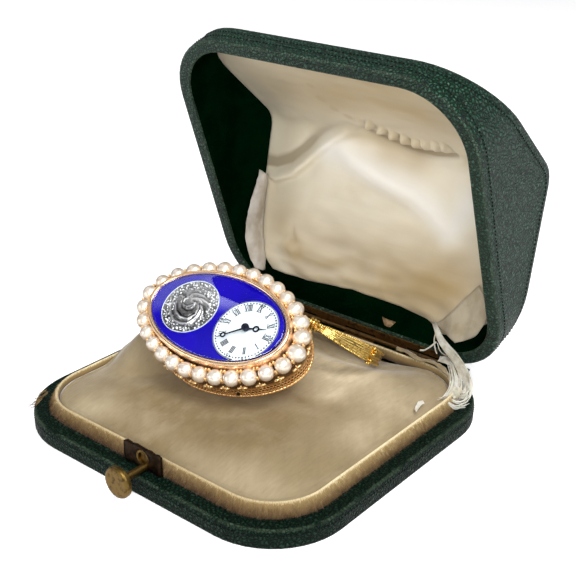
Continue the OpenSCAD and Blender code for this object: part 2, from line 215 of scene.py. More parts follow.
def oval(a, b, z, steps=160, x=0.0, y=0.0):
    """Points round an oval at the height z, with its middle at x, y."""
    turns = [TURN * k / steps for k in range(steps)]
    return [(x + a * math.cos(turn), y + b * math.sin(turn), z) for turn in turns]


def border_point(a, b, turn, power=POWER):
    """A point of the boat-shaped outline."""
    c, s = math.cos(turn), math.sin(turn)
    return (a * math.copysign(abs(c) ** (2 / power), c), b * math.copysign(abs(s) ** (2 / power), s))


def border_ring(grow, z, steps=240, a=EDGE_A, b=EDGE_B, power=POWER):
    return [(*border_point(a + grow, b + grow, TURN * k / steps, power), z) for k in range(steps)]

# %% [markdown]
# ### Bars, tubes and smooth lines
#
# Painted strokes are flat boxes, threads and wires are tubes along a line, and a loose edge is a
# smooth line through a few points read off the photo.

# %% Bars, tubes and smooth lines
BOX_FACES = ((0, 1, 2, 3), (7, 6, 5, 4), (0, 4, 5, 1), (1, 5, 6, 2), (2, 6, 7, 3), (3, 7, 4, 0))


def bars(name, strokes, low, high, place=None):
    """Thin raised strokes, each one a closed box from p to q with a width."""
    points, faces = [], []
    for p, q, wide in strokes:
        d = Vector((q[0] - p[0], q[1] - p[1])).normalized()
        side = Vector((-d.y, d.x)) * wide / 2
        base = len(points)
        for z in (low, high):
            for (x, y), sign in ((p, 1), (q, 1), (q, -1), (p, -1)):
                points.append((x + side.x * sign, y + side.y * sign, z))
        faces += [tuple(base + i for i in face) for face in BOX_FACES]
    return finish_mesh(name, points, faces, place=place, smooth=False)


def tube(name, paths, radii, sides=8, place=None):
    """Closed round strands along paths; a radius may be a function of the way along."""
    points, faces = [], []
    for path, radius in zip(paths, radii):
        path = [Vector(p) for p in path]
        n = len(path)
        up = Vector((0, 0, 1))
        base = len(points)
        for i, p in enumerate(path):
            d = (path[min(i + 1, n - 1)] - path[max(i - 1, 0)]).normalized()
            side = d.cross(up)
            side = side.normalized() if side.length > 1e-4 else Vector((1, 0, 0))
            up = side.cross(d).normalized()
            r = radius(i / (n - 1)) if callable(radius) else radius
            for k in range(sides):
                a = TURN * k / sides
                points.append(p + side * math.cos(a) * r + up * math.sin(a) * r)
        for i in range(n - 1):
            for k in range(sides):
                j = (k + 1) % sides
                faces.append(
                    (
                        base + i * sides + k, base + i * sides + j, base + (i + 1) * sides + j,
                        base + (i + 1) * sides + k
                    )
                )
        faces.append(tuple(base + k for k in range(sides)))
        faces.append(tuple(base + (n - 1) * sides + k for k in range(sides)))
    return finish_mesh(name, points, faces, place=place)


def smooth_path(points, per_span=8):
    """A Catmull-Rom line through the points."""
    p = [Vector(q) for q in points]
    p = [p[0] * 2 - p[1]] + p + [p[-1] * 2 - p[-2]]
    out = []
    for i in range(1, len(p) - 2):
        for k in range(per_span):
            t = k / per_span
            a, b, c, d = p[i - 1], p[i], p[i + 1], p[i + 2]
            out.append(
                0.5 * (
                    (2 * b) + (c - a) * t + (
                        2 * a - 5 * b + 4 * c - d
                    ) * t * t + (3 * b - a - 3 * c + d) * t ** 3
                )
            )
    return out + [p[-2]]


print("watch plane", [round(v, 3) for v in WATCH.to_euler()], "hoop at", tuple(HOOP_AT))

# %% [markdown]
# ## Shader helpers
#
# `node` makes one shader node and joins it up. The short helpers after it save the long node names.
# In every material below, `t` is its node tree, `s` its Principled shader and `at` the place on the
# piece.

# %% Shader helpers
def node(tree, kind, inputs=None, **props):
    made = tree.nodes.new(kind)
    for key, value in props.items():
        setattr(made, key, value)
    for key, value in (inputs or {}).items():
        socket = made.inputs[key]
        if isinstance(value, bpy.types.NodeSocket):
            tree.links.new(value, socket)
        else:
            socket.default_value = value
    return made


def ramp(tree, fac, stops):
    """A colour ramp with (place, colour) stops."""
    made = node(tree, "ShaderNodeValToRGB", {"Fac": fac})
    elements = made.color_ramp.elements
    while len(elements) < len(stops):
        elements.new(0.5)
    for element, (at, colour) in zip(elements, stops):
        element.position = at
        element.color = (*colour, 1)
    return made.outputs["Color"]


def mix(tree, fac, a, b, blend="MIX"):
    made = node(tree, "ShaderNodeMix", data_type="RGBA", blend_type=blend)
    for index, value in ((0, fac), (6, a), (7, b)):
        socket = made.inputs[index]
        if isinstance(value, bpy.types.NodeSocket):
            tree.links.new(value, socket)
        elif index == 0:
            socket.default_value = value
        else:
            socket.default_value = (*value, 1) if len(value) == 3 else value
    return made.outputs[2]


def maths(tree, operation, a, b=0.0, clamp=False):
    made = node(tree, "ShaderNodeMath", {0: a, 1: b}, operation=operation, use_clamp=clamp)
    return made.outputs[0]


def times(tree, a, b, clamp=False):
    return maths(tree, "MULTIPLY", a, b, clamp)


def plus(tree, a, b, clamp=False):
    return maths(tree, "ADD", a, b, clamp)


def minus(tree, a, b):
    return maths(tree, "SUBTRACT", a, b)


def ranged(tree, value, low, high, smooth=False):
    """A value between low and high as a share from 0 to 1."""
    made = node(tree, "ShaderNodeMapRange", {"Value": value, "From Min": low, "From Max": high})
    made.interpolation_type = "SMOOTHSTEP" if smooth else "LINEAR"
    return made.outputs["Result"]


def part_of(tree, vector, axis):
    return node(tree, "ShaderNodeSeparateXYZ", {"Vector": vector}).outputs[axis]


def painted(tree, name):
    """The number that a piece's points carry under this name."""
    return node(tree, "ShaderNodeAttribute", attribute_name=name).outputs["Fac"]


def feed(shader, socket, value):
    shader.id_data.links.new(value, shader.inputs[socket])


def paint(shader, value):
    feed(shader, "Base Color", value)

# %% [markdown]
# ### Groups and materials
#
# A shader group is a small machine with its own inputs. It is made once and used by many materials.

# %% Groups and materials
def shader_group(name, inputs, outputs):
    group = bpy.data.node_groups.new(name, "ShaderNodeTree")
    for label, kind, value in inputs:
        socket = group.interface.new_socket(label, in_out="INPUT", socket_type=kind)
        if value is not None:
            socket.default_value = value
    for label, kind in outputs:
        group.interface.new_socket(label, in_out="OUTPUT", socket_type=kind)
    return group, group.nodes.new("NodeGroupInput").outputs, group.nodes.new("NodeGroupOutput")


def use_group(tree, group, **values):
    made = tree.nodes.new("ShaderNodeGroup")
    made.node_tree = group
    for key, value in values.items():
        socket = made.inputs[key.replace("_", " ")]
        if isinstance(value, bpy.types.NodeSocket):
            tree.links.new(value, socket)
        else:
            socket.default_value = value
    return made.outputs


def material(name, colour, roughness=0.5, metallic=0.0, **principled):
    """A material with a Principled shader; its node tree and shader are given back to build on."""
    made = bpy.data.materials.new(name)
    made.use_nodes = True
    tree = made.node_tree
    shader = tree.nodes["Principled BSDF"]
    values = {"Base Color": (*colour, 1), "Roughness": roughness, "Metallic": metallic, **principled}
    for key, value in values.items():
        shader.inputs[key.replace("_", " ")].default_value = value
    made.diffuse_color = (*colour, 1)
    return made, tree, shader


def bump(tree, shader, height, distance, strength=1.0):
    made = node(tree, "ShaderNodeBump", {"Height": height, "Distance": distance * MM, "Strength": strength})
    tree.links.new(made.outputs[0], shader.inputs["Normal"])
    return made


def object_place(tree):
    return node(tree, "ShaderNodeTexCoord").outputs["Object"]

# %% [markdown]
# ### Shared effects
#
# Three effects come back on several cloths, leathers and metals: pebble grain, cloudy stains and
# fibre streaks. They put out values only, and each material decides what the values do.

# %% Shared effects
pebble, given, g_out = shader_group(
    "pebble grain", [("Vector", "NodeSocketVector", None), ("Size", "NodeSocketFloat", 1.0)],
    [("Height", "NodeSocketFloat")]
)
scale = maths(pebble, "DIVIDE", 1000.0, given["Size"])
warp = node(pebble, "ShaderNodeTexNoise", {"Vector": given["Vector"], "Scale": scale, "Detail": 2.0})
offset = node(
    pebble, "ShaderNodeVectorMath", {0: warp.outputs["Color"], 1: (0.0004, 0.0004, 0.0004)},
    operation="MULTIPLY"
)
place = node(pebble, "ShaderNodeVectorMath", {0: given["Vector"], 1: offset.outputs[0]}, operation="ADD")
cells = node(
    pebble, "ShaderNodeTexVoronoi", {"Vector": place.outputs[0], "Scale": scale}, feature="DISTANCE_TO_EDGE"
)
domes = maths(pebble, "POWER", times(pebble, cells.outputs["Distance"], 2.2, clamp=True), 0.5)
fine = node(
    pebble, "ShaderNodeTexNoise",
    {"Vector": given["Vector"], "Scale": times(pebble, scale, 3.0), "Detail": 3.0}
)
total = plus(pebble, times(pebble, domes, 0.8), times(pebble, fine.outputs["Fac"], 0.2))
pebble.links.new(total, g_out.inputs["Height"])

cloud, given, g_out = shader_group(
    "cloudy stain",
    [
        ("Vector", "NodeSocketVector", None), ("Size", "NodeSocketFloat", 10.0),
        ("Low", "NodeSocketFloat", 0.4), ("High", "NodeSocketFloat", 0.6)
    ],
    [("Mask", "NodeSocketFloat")]
)
scale = maths(cloud, "DIVIDE", 1000.0, given["Size"])
blotch = node(
    cloud, "ShaderNodeTexNoise",
    {"Vector": given["Vector"], "Scale": scale, "Detail": 4.0, "Roughness": 0.55, "Distortion": 0.4}
)
mapped = node(
    cloud, "ShaderNodeMapRange",
    {"Value": blotch.outputs["Fac"], "From Min": given["Low"], "From Max": given["High"]},
    interpolation_type="SMOOTHSTEP"
)
cloud.links.new(mapped.outputs["Result"], g_out.inputs["Mask"])

streak, given, g_out = shader_group(
    "fibre streaks",
    [("Vector", "NodeSocketVector", None), ("Stretch", "NodeSocketVector", (400.0, 3000.0, 400.0))],
    [("Value", "NodeSocketFloat")]
)
long_way = node(
    streak, "ShaderNodeVectorMath", {0: given["Vector"], 1: given["Stretch"]}, operation="MULTIPLY"
)
fibres = node(
    streak, "ShaderNodeTexNoise",
    {"Vector": long_way.outputs[0], "Scale": 1.0, "Detail": 3.0, "Roughness": 0.65}
)
streak.links.new(fibres.outputs["Fac"], g_out.inputs["Value"])


def cloudy(tree, at, size, low, high):
    """A soft stain mask; size is in millimetres, and the noise shows from low up."""
    return use_group(tree, cloud, Vector=at, Size=size, Low=low, High=high)["Mask"]


def streaky(tree, at, stretch):
    return use_group(tree, streak, Vector=at, Stretch=stretch)["Value"]


print("shared effects:", [g.name for g in bpy.data.node_groups])

# %% [markdown]
# ## Leather
#
# The box is covered in dark green goatskin: small soft domes with dark gaps, rubbed pale where it folds over
# an edge. The domes' tops are painted lighter as a highlight. A picture of leather could be wrapped round it,
# but cells of a Voronoi texture need no picture and don't stretch. The base is darker and duller than the
# lid, as it is in the photo; its darker colour is painted shade.

# %% Leather
def leather(name, shine, tone):
    """Goatskin with a pebble grain; shine is its gloss, and tone scales the colour: the grain's tops are a
    painted highlight, and a low tone paints the skin darker as shade.
    """
    made, t, s = material(name, (0.004, 0.022, 0.013), 0.42, Specular_IOR_Level=shine)
    at = object_place(t)
    grain = use_group(t, pebble, Vector=at, Size=0.58)["Height"]
    patches = cloudy(t, at, 16.0, 0.35, 0.7)
    worn = painted(t, "worn")
    rub = times(t, worn, cloudy(t, at, 3.2, 0.3, 0.6), clamp=True)
    # Painted highlight: the grain's tops get a lighter colour, scaled by tone.
    top = tuple(tone * c for c in (0.050, 0.130, 0.086))
    middle = tuple(tone * c for c in (0.004, 0.040, 0.019))
    base = ramp(t, grain, [(0.30, (0.0004, 0.0045, 0.0022)), (0.62, middle), (1.0, top)])
    base = mix(t, times(t, patches, 0.4), base, (0.003 * tone, 0.021 * tone, 0.013 * tone))
    base = mix(t, times(t, rub, 0.35), base, (0.10, 0.15, 0.09))
    paint(s, base)
    feed(s, "Roughness", minus(t, 0.60, times(t, grain, 0.34)))
    bump(t, s, grain, 0.50, 1.0)
    return made


# Lit and shaded copies of one leather: the base's low tone is painted shade.
LIT_LEATHER = leather("leather of the lid", 0.42, 1.15)
SHADED_BASE_LEATHER = leather("leather of the base", 0.10, 0.45)

# Painted shade: the lid's inside and the hinge strip get the leather's colour made much darker.
SHADED_INNER_LEATHER, t, s = material("leather inside", (0.002, 0.014, 0.006), 0.7, Specular_IOR_Level=0.0)
at = object_place(t)
patches = cloudy(t, at, 9.0, 0.35, 0.7)
paint(s, mix(t, patches, (0.0001, 0.004, 0.001), (0.0004, 0.010, 0.0025)))
bump(t, s, use_group(t, pebble, Vector=at, Size=0.7)["Height"], 0.06, 0.6)

STITCH, t, s = material("tooled line", (0.004, 0.014, 0.010), 0.7, Specular_IOR_Level=0.1)
dim = cloudy(t, object_place(t), 5.0, 0.4, 0.7)
paint(s, mix(t, dim, (0.0006, 0.003, 0.002), (0.004, 0.012, 0.008)))

# %% [markdown]
# ## Velvet and pile
#
# The collar's velvet is brown at the foot, tan on its side and rubbed to a pale line on its crest,
# so its colour is a ramp over the height. Streaks round the wall break the ramp up, and the front
# is soiled.

# %% Velvet and pile
def soiled_front(tree, at, shade, front):
    """The cloth's colour, multiplied by a darker one toward the front of the box."""
    back = ranged(tree, part_of(tree, at, "Y"), -26 * MM, -14 * MM)
    return mix(tree, 1.0, shade, ramp(tree, back, [(0.0, front), (1.0, (1.0, 1.0, 1.0))]), "MULTIPLY")


VELVET, t, s = material(
    "velvet of the collar", (0.6, 0.47, 0.28), 0.9, Sheen_Weight=0.15, Sheen_Roughness=0.4
)
uv = node(t, "ShaderNodeTexCoord").outputs["UV"]
at = object_place(t)
height = part_of(t, at, "Z")
up = ranged(t, height, 3.2 * MM, 5.3 * MM)
hairs = streaky(t, uv, (9.0, 1.2, 1.0))
level = plus(t, up, times(t, minus(t, hairs, 0.5), 0.5), clamp=True)
shade = ramp(
    t, level,
    [
        (0.0, (0.06, 0.028, 0.008)), (0.3, (0.17, 0.10, 0.034)), (0.86, (0.36, 0.25, 0.10)),
        (0.99, (0.85, 0.73, 0.46))
    ]
)
shade = mix(t, times(t, cloudy(t, at, 7.0, 0.45, 0.7), 0.2), shade, (0.36, 0.28, 0.16))
paint(s, soiled_front(t, at, shade, (0.64, 0.58, 0.50)))
bump(t, s, hairs, 0.12, 0.6)

PILE, t, s = material("brushed pile", (0.3, 0.2, 0.1), 0.7)
at = object_place(t)
height = part_of(t, at, "Z")
up = ranged(t, height, 3.1 * MM, 5.3 * MM)
level = plus(t, up, times(t, minus(t, cloudy(t, at, 0.8, 0.3, 0.7), 0.5), 0.3), clamp=True)
shade = ramp(
    t, level,
    [
        (0.0, (0.07, 0.034, 0.010)), (0.35, (0.20, 0.12, 0.042)), (0.85, (0.44, 0.32, 0.14)),
        (1.0, (0.80, 0.67, 0.40))
    ]
)
paint(s, soiled_front(t, at, shade, (0.60, 0.54, 0.46)))

# %% [markdown]
# ## Pad cloth
#
# The pad's silk velvet is cream with brown stains and a brushed direction. Clouds of three sizes make the
# aged ground, and the big stains are painted on the points, because their places show in the photo. One brown
# patch in front of the watch is painted shadow, and pale patches beside the watch and under the hoop are
# painted light.

# %% Pad cloth
PAD_CLOTH, t, s = material(
    "stained silk velvet", (0.5, 0.42, 0.27), 0.85, Sheen_Weight=0.6, Sheen_Roughness=0.35
)
at = object_place(t)
wide_stain = cloudy(t, at, 14.0, 0.42, 0.66)
small_stain = cloudy(t, at, 5.0, 0.40, 0.76)
spots = cloudy(t, at, 1.3, 0.62, 0.74)
pile = streaky(t, at, (2600.0, 420.0, 900.0))
shade = mix(t, wide_stain, (0.375, 0.295, 0.175), (0.30, 0.225, 0.115))
shade = mix(t, times(t, small_stain, 0.5), shade, (0.27, 0.205, 0.10))
shade = mix(t, times(t, spots, 0.3), shade, (0.25, 0.18, 0.09))
# Brown: stains, and painted shadow in front of the watch.
brown = painted(t, "stain")
broken = times(t, brown, plus(t, 0.4, cloudy(t, at, 3.4, 0.28, 0.72)), clamp=True)
shade = mix(t, times(t, broken, 0.85), shade, (0.225, 0.155, 0.062))
# Pale: pale patches, and painted light beside the watch and under the hoop.
pale = painted(t, "pale")
shade = mix(t, times(t, pale, plus(t, 0.3, streaky(t, at, (500.0, 160.0, 300.0)))), shade, (0.84, 0.72, 0.50))
turned = node(t, "ShaderNodeMapping", {"Vector": at, "Rotation": (0.0, 0.0, math.radians(-39))}).outputs[0]
brushed = streaky(t, turned, (420.0, 60.0, 60.0))
shade = mix(
    t, 0.4, shade, ramp(t, brushed, [(0.32, (0.78, 0.75, 0.70)), (0.62, (1.0, 1.0, 1.0))]), "MULTIPLY"
)
shade = mix(t, 0.35, shade, ramp(t, pile, [(0.3, (0.62, 0.62, 0.62)), (0.7, (1.0, 1.0, 1.0))]), "MULTIPLY")
paint(s, shade)
bump(t, s, pile, 0.10, 0.5)

# %% [markdown]
# ## Satin, silk and board
#
# Satin is smooth and shines, with a weave that shows only as a fine line. The fold's height is painted on the
# points, and the hollows are painted darker as shade. A painted highlight runs along the pull, and the
# yellowed patches also paint shade. Torn silk is duller and whiter; peeled silk has streaks of painted shade
# along its folds; bare board shows in one spot.

# %% Satin, silk and board
SATIN, t, s = material(
    "cream satin", (0.80, 0.69, 0.48), 0.36, Sheen_Weight=0.2, Specular_IOR_Level=1.0, Coat_Weight=0.5,
    Coat_Roughness=0.32
)
at = object_place(t)
patch = cloudy(t, at, 11.0, 0.48, 0.75)
shade = mix(t, times(t, patch, 0.35), (0.97, 0.88, 0.68), (0.80, 0.67, 0.44))
# Yellowed patches with painted shade in them.
yellowing_and_shade = painted(t, "stain")
shade = mix(t, times(t, yellowing_and_shade, 0.8), shade, (0.47, 0.31, 0.09))
# A painted highlight along the pull.
pull_highlight = painted(t, "pale")
shade = mix(t, times(t, pull_highlight, 0.8), shade, (1.0, 0.97, 0.90))
# Painted shade: the hollows of the folds are darker.
fold_shade = painted(t, "fold_shade")
shade = mix(
    t, 1.0, shade,
    ramp(
        t, fold_shade,
        [
            (0.22, (0.50, 0.46, 0.40)), (0.45, (0.86, 0.85, 0.83)), (0.62, (0.95, 0.95, 0.94)),
            (1.0, (1.0, 1.0, 1.0))
        ]
    ),
    "MULTIPLY"
)
paint(s, shade)
weave = streaky(t, at, (900.0, 5200.0, 5200.0))
slub = streaky(t, at, (60.0, 420.0, 420.0))
bump(t, s, plus(t, times(t, weave, 0.12), slub), 0.08, 0.6)
feed(s, "Roughness", plus(t, 0.30, times(t, slub, 0.2)))

SILK, t, s = material(
    "torn white silk", (0.86, 0.83, 0.74), 0.5, Sheen_Weight=0.4, Subsurface_Weight=0.1,
    Subsurface_Scale=0.0005
)
dim = cloudy(t, object_place(t), 2.0, 0.4, 0.7)
paint(s, mix(t, dim, (0.80, 0.77, 0.68), (0.56, 0.50, 0.37)))


def peeled_silk(name, pale, aged):
    made, t, s = material(name, pale, 0.42, Sheen_Weight=0.3)
    at = object_place(t)
    dim = cloudy(t, at, 4.0, 0.4, 0.7)
    # Streaks of painted shade along the silk's folds.
    fold_shade = streaky(t, at, (500.0, 120.0, 120.0))
    shade = mix(t, dim, pale, aged)
    paint(s, mix(t, 0.5, shade, ramp(t, fold_shade, [(0.3, (0.5, 0.5, 0.52)), (0.6, (1.0, 1.0, 1.0))]), "MULTIPLY"))
    return made


FLAP_SILK = peeled_silk("peeled white silk", (0.72, 0.67, 0.60), (0.55, 0.48, 0.38))
CORNER_SILK = peeled_silk("folded back silk", (0.62, 0.54, 0.40), (0.46, 0.38, 0.24))

BARE_BOARD, t, s = material("bare board", (0.40, 0.27, 0.15), 0.8)
dim = cloudy(t, object_place(t), 1.2, 0.4, 0.6)
paint(s, mix(t, dim, (0.46, 0.31, 0.17), (0.22, 0.13, 0.06)))

# %% [markdown]
# ## Metals
#
# One helper makes brass, bronze, gold, silver and blued steel: a bright colour, a duller one in
# patches, and a fine unevenness. Gold is warm and red on the case and yellow on the hoop.

# %% Metals
def metal(name, bright, dull, roughness, size, depth=0.02, metallic=1.0):
    """A metal that is bright with duller patches and a fine unevenness."""
    made, t, s = material(name, bright, roughness, metallic)
    at = object_place(t)
    patch = cloudy(t, at, size, 0.45, 0.7)
    paint(s, mix(t, patch, bright, dull))
    feed(s, "Roughness", plus(t, roughness, times(t, patch, 0.2)))
    fine = node(t, "ShaderNodeTexNoise", {"Vector": at, "Scale": 2600.0, "Detail": 3.0})
    bump(t, s, fine.outputs["Fac"], depth, 0.6)
    return made, t, s


BRASS = metal("dull brass", (0.20, 0.125, 0.035), (0.085, 0.05, 0.018), 0.38, 0.8, 0.03)[0]
HINGE_BRASS = metal("hinge brass", (0.36, 0.22, 0.09), (0.12, 0.07, 0.03), 0.42, 1.6, 0.03)[0]
BRONZE = metal("dark bronze", (0.038, 0.022, 0.013), (0.014, 0.009, 0.006), 0.45, 0.7, 0.05)[0]
ROSE_GOLD = metal("rose gold", (1.0, 0.70, 0.44), (0.95, 0.58, 0.31), 0.16, 2.2, 0.010, metallic=0.8)[0]
CHASED_GOLD = metal("chased gold", (1.0, 0.70, 0.34), (0.85, 0.48, 0.18), 0.18, 0.45, 0.06, metallic=0.72)[0]
YELLOW_GOLD = metal("yellow gold", (0.90, 0.64, 0.20), (0.26, 0.15, 0.03), 0.17, 0.5, 0.06)[0]
SILVER = metal("old silver", (0.26, 0.26, 0.25), (0.08, 0.08, 0.08), 0.32, 0.6, 0.05)[0]
STEEL = metal("blued steel", (0.035, 0.04, 0.07), (0.012, 0.014, 0.03), 0.18, 0.4, 0.01)[0]

# %% [markdown]
# ### Punched gold of the case
#
# The case's band is punched all over with small dots in staggered rows. More than a thousand real
# dots would be heavy, so the band's UV map, in millimetres, draws them in the colour and the bump.

# %% Punched gold of the case
DOT_PITCH = 0.60
CASE_GOLD, t, s = metal("case gold", (1.0, 0.60, 0.25), (0.80, 0.42, 0.15), 0.20, 1.6, 0.012, metallic=0.8)
uv = node(t, "ShaderNodeTexCoord").outputs["UV"]
band = painted(t, "band")
across = maths(t, "DIVIDE", part_of(t, uv, "Y"), DOT_PITCH)
odd_row = maths(t, "MODULO", maths(t, "FLOOR", across), 2.0)
shifted = plus(t, maths(t, "DIVIDE", part_of(t, uv, "X"), DOT_PITCH), times(t, odd_row, 0.5))
fx = minus(t, maths(t, "FRACT", shifted), 0.5)
fy = minus(t, maths(t, "FRACT", across), 0.5)
away = maths(t, "SQRT", plus(t, times(t, fx, fx), times(t, fy, fy)))
pit = ranged(t, away, 0.24, 0.46, smooth=True)
rough_cut = node(t, "ShaderNodeTexVoronoi", {"Vector": object_place(t), "Scale": 2400.0}).outputs["Distance"]
punched = times(t, band, minus(t, plus(t, pit, times(t, rough_cut, 0.5)), 1.0))
old = s.inputs["Base Color"].links[0].from_socket
dark = times(t, band, minus(t, 1.0, pit), clamp=True)
paint(s, mix(t, times(t, dark, 0.95), old, (0.05, 0.015, 0.004)))
# Painted shade: the case's wall under the pearls is darker.
recess_shade = painted(t, "recess_shade")
plain = s.inputs["Base Color"].links[0].from_socket
paint(s, mix(t, recess_shade, plain, (0.055, 0.018, 0.005)))
bump(t, s, punched, 0.16, 1.0)

# %% [markdown]
# ## Enamels, glass, pearl and stones
#
# Enamel is coloured glass on metal: a deep colour under a clear coat. The watch glass is clear and mirrors
# the lights. A pearl has a soft body with a sharper coat over it; its colour is cream, and it is painted
# darker and warmer toward its edge as a painted reflection of the gold round it.

# %% Enamels, glass, pearl and stones
BLUE, t, s = material("royal blue enamel", (0.012, 0.002, 0.42), 0.35, Specular_IOR_Level=0.06)
deep = cloudy(t, object_place(t), 5.0, 0.3, 0.7)
paint(s, mix(t, deep, (0.003, 0.0, 0.235), (0.006, 0.0, 0.29)))

WHITE, t, s = material("white enamel", (0.84, 0.86, 0.86), 0.35, Specular_IOR_Level=0.1)
tone = cloudy(t, object_place(t), 3.0, 0.3, 0.7)
paint(s, mix(t, tone, (0.60, 0.65, 0.66), (0.54, 0.60, 0.61)))

INK, t, s = material("black enamel ink", (0.012, 0.012, 0.016), 0.35)
tone = cloudy(t, object_place(t), 0.5, 0.3, 0.7)
paint(s, mix(t, tone, (0.003, 0.003, 0.006), (0.012, 0.012, 0.016)))

GLASS, t, s = material("crystal glass", (0.97, 0.98, 1.0), 0.0, Transmission_Weight=1.0, IOR=1.5)
clear = node(t, "ShaderNodeBsdfTransparent")
shadow = node(t, "ShaderNodeLightPath").outputs["Is Shadow Ray"]
both = node(t, "ShaderNodeMixShader", {0: shadow, 1: s.outputs[0], 2: clear.outputs[0]})
t.links.new(both.outputs[0], t.nodes["Material Output"].inputs["Surface"])
smear = node(t, "ShaderNodeTexNoise", {"Vector": object_place(t), "Scale": 60.0})
feed(s, "Roughness", times(t, smear.outputs["Fac"], 0.02))

PEARL, t, s = material("pearl", (0.92, 0.86, 0.80), 0.28, 0.46, Coat_Weight=1.0, Coat_Roughness=0.09)
own = node(t, "ShaderNodeObjectInfo").outputs["Random"]
facing = node(t, "ShaderNodeLayerWeight", {"Blend": 0.5}).outputs["Facing"]
cream = ramp(
    t, own,
    [
        (0.0, (0.98, 0.87, 0.71)), (0.4, (0.99, 0.93, 0.81)), (0.7, (0.99, 0.89, 0.77)),
        (1.0, (0.96, 0.92, 0.82))
    ]
)
# Painted reflection: the pearl's edge is darker and warmer, as the gold round it mirrors in it.
paint(s, mix(t, facing, cream, (0.50, 0.34, 0.25)))
skin = node(t, "ShaderNodeTexNoise", {"Vector": object_place(t), "Scale": 900.0, "Detail": 2.0})
bump(t, s, skin.outputs["Fac"], 0.006, 0.3)

STONE, t, s = material("rose cut stone", (0.82, 0.85, 0.86), 0.05, Transmission_Weight=0.35, IOR=1.9)
# Patches of stones are white, grey and near black.
stone_patches = cloudy(t, object_place(t), 0.5, 0.35, 0.65)
paint(s, ramp(t, stone_patches, [(0.45, (0.97, 0.98, 0.97)), (0.68, (0.30, 0.31, 0.30)), (0.9, (0.05, 0.05, 0.05))]))
print("materials:", len(bpy.data.materials))


def dress(obj, made, slot=None, body=None, replaces=()):
    """Gives a piece its material, the body it rides on and the nodes that it stands for; slot is not used."""
    obj.data.materials.clear()
    obj.data.materials.append(made)
    if body:
        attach(obj, body)
    if replaces:
        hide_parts(*replaces)
    print(f"{obj.name}: {len(obj.data.polygons)} faces, {made.name}")
    return obj


def mark(obj, name, values):
    """A number on each point of the mesh, which the material reads."""
    layer = obj.data.attributes.new(name, "FLOAT", "POINT")
    layer.data.foreach_set("value", np.clip(values, 0, 1).astype(np.float32))


def points_of(obj):
    """The mesh's points in millimetres."""
    co = np.zeros(len(obj.data.vertices) * 3)
    obj.data.vertices.foreach_get("co", co)
    return co.reshape(-1, 3) / MM


def points_in(place, obj):
    """The mesh's points as they were before place moved them."""
    back = place.inverted()
    return np.array([tuple(back @ Vector(p)) for p in points_of(obj)])

# %% [markdown]
# ## Repeats
#
# Small beads come back in three places: the tooled dots in the leather, the milled edge of the hoop and the
# minute dots of the dial. One Geometry Nodes group resamples a line, turns a bead along it at each point and
# joins all of them to one mesh, which is then kept as plain mesh. `dress` gives every piece its material and
# body, and prints what it is.

# %% Beads along a line
def geometry_group(name, inputs):
    group = bpy.data.node_groups.new(name, "GeometryNodeTree")
    group.interface.new_socket("Geometry", in_out="INPUT", socket_type="NodeSocketGeometry")
    group.interface.new_socket("Geometry", in_out="OUTPUT", socket_type="NodeSocketGeometry")
    for label, kind, value in inputs:
        socket = group.interface.new_socket(label, in_out="INPUT", socket_type=kind)
        if value is not None:
            socket.default_value = value
    return group, group.nodes.new("NodeGroupInput").outputs, group.nodes.new("NodeGroupOutput")


def set_on(group, given, points, shape, **how):
    """Sets a shape on each point, joins all to one mesh and gives it the group's material."""
    placed = node(group, "GeometryNodeInstanceOnPoints", {"Points": points, "Instance": shape, **how})
    real = node(group, "GeometryNodeRealizeInstances", {"Geometry": placed.outputs[0]})
    made = {"Geometry": real.outputs[0], "Material": given["Material"]}
    return node(group, "GeometryNodeSetMaterial", made).outputs[0]


NUMBER, WHOLE, TRIPLE = "NodeSocketFloat", "NodeSocketInt", "NodeSocketVector"
BEADS, given, g_out = geometry_group("beads along a line", [
    ("Spacing", NUMBER, 0.0007), ("Size", TRIPLE, (0.0002, 0.0001, 0.0001)), ("Detail", WHOLE, 8),
    ("Uneven", NUMBER, 0.1), ("Seed", WHOLE, 1), ("Material", "NodeSocketMaterial", None)])
line = node(BEADS, "GeometryNodeMeshToCurve", {"Mesh": given["Geometry"]})
cut = node(
    BEADS, "GeometryNodeResampleCurve", {"Curve": line.outputs[0], "Length": given["Spacing"]}, mode="LENGTH"
)
tangent = node(BEADS, "GeometryNodeInputTangent")
turned = node(BEADS, "FunctionNodeAlignRotationToVector", {"Vector": tangent.outputs[0]}, axis="X")
bead = node(
    BEADS, "GeometryNodeMeshUVSphere", {"Segments": given["Detail"], "Rings": given["Detail"], "Radius": 1.0}
)
wobble = node(BEADS, "FunctionNodeRandomValue", {"Seed": given["Seed"]}, data_type="FLOAT")
wobble.inputs[2].default_value, wobble.inputs[3].default_value = -1.0, 1.0
grown = plus(BEADS, 1.0, times(BEADS, wobble.outputs[1], given["Uneven"]))
size = node(BEADS, "ShaderNodeVectorMath", {0: given["Size"], "Scale": grown}, operation="SCALE")
dressed = set_on(
    BEADS, given, cut.outputs[0], bead.outputs["Mesh"], Rotation=turned.outputs[0], Scale=size.outputs[0]
)
soft = node(BEADS, "GeometryNodeSetShadeSmooth", {"Geometry": dressed})
BEADS.links.new(soft.outputs[0], g_out.inputs["Geometry"])


def grow(obj, group, **values):
    """Runs a Geometry Nodes group on obj, keeps the result as its mesh and takes the modifier off."""
    made = obj.modifiers.new("nodes", "NODES")
    made.node_group = group
    names = {
        item.name: item.identifier
        for item in group.interface.items_tree if item.item_type == "SOCKET" and item.in_out == "INPUT"
    }
    for key, value in values.items():
        made[names[key.replace("_", " ")]] = value
    mesh = settled_mesh(obj)
    obj.modifiers.clear()
    obj.data = mesh
    return obj


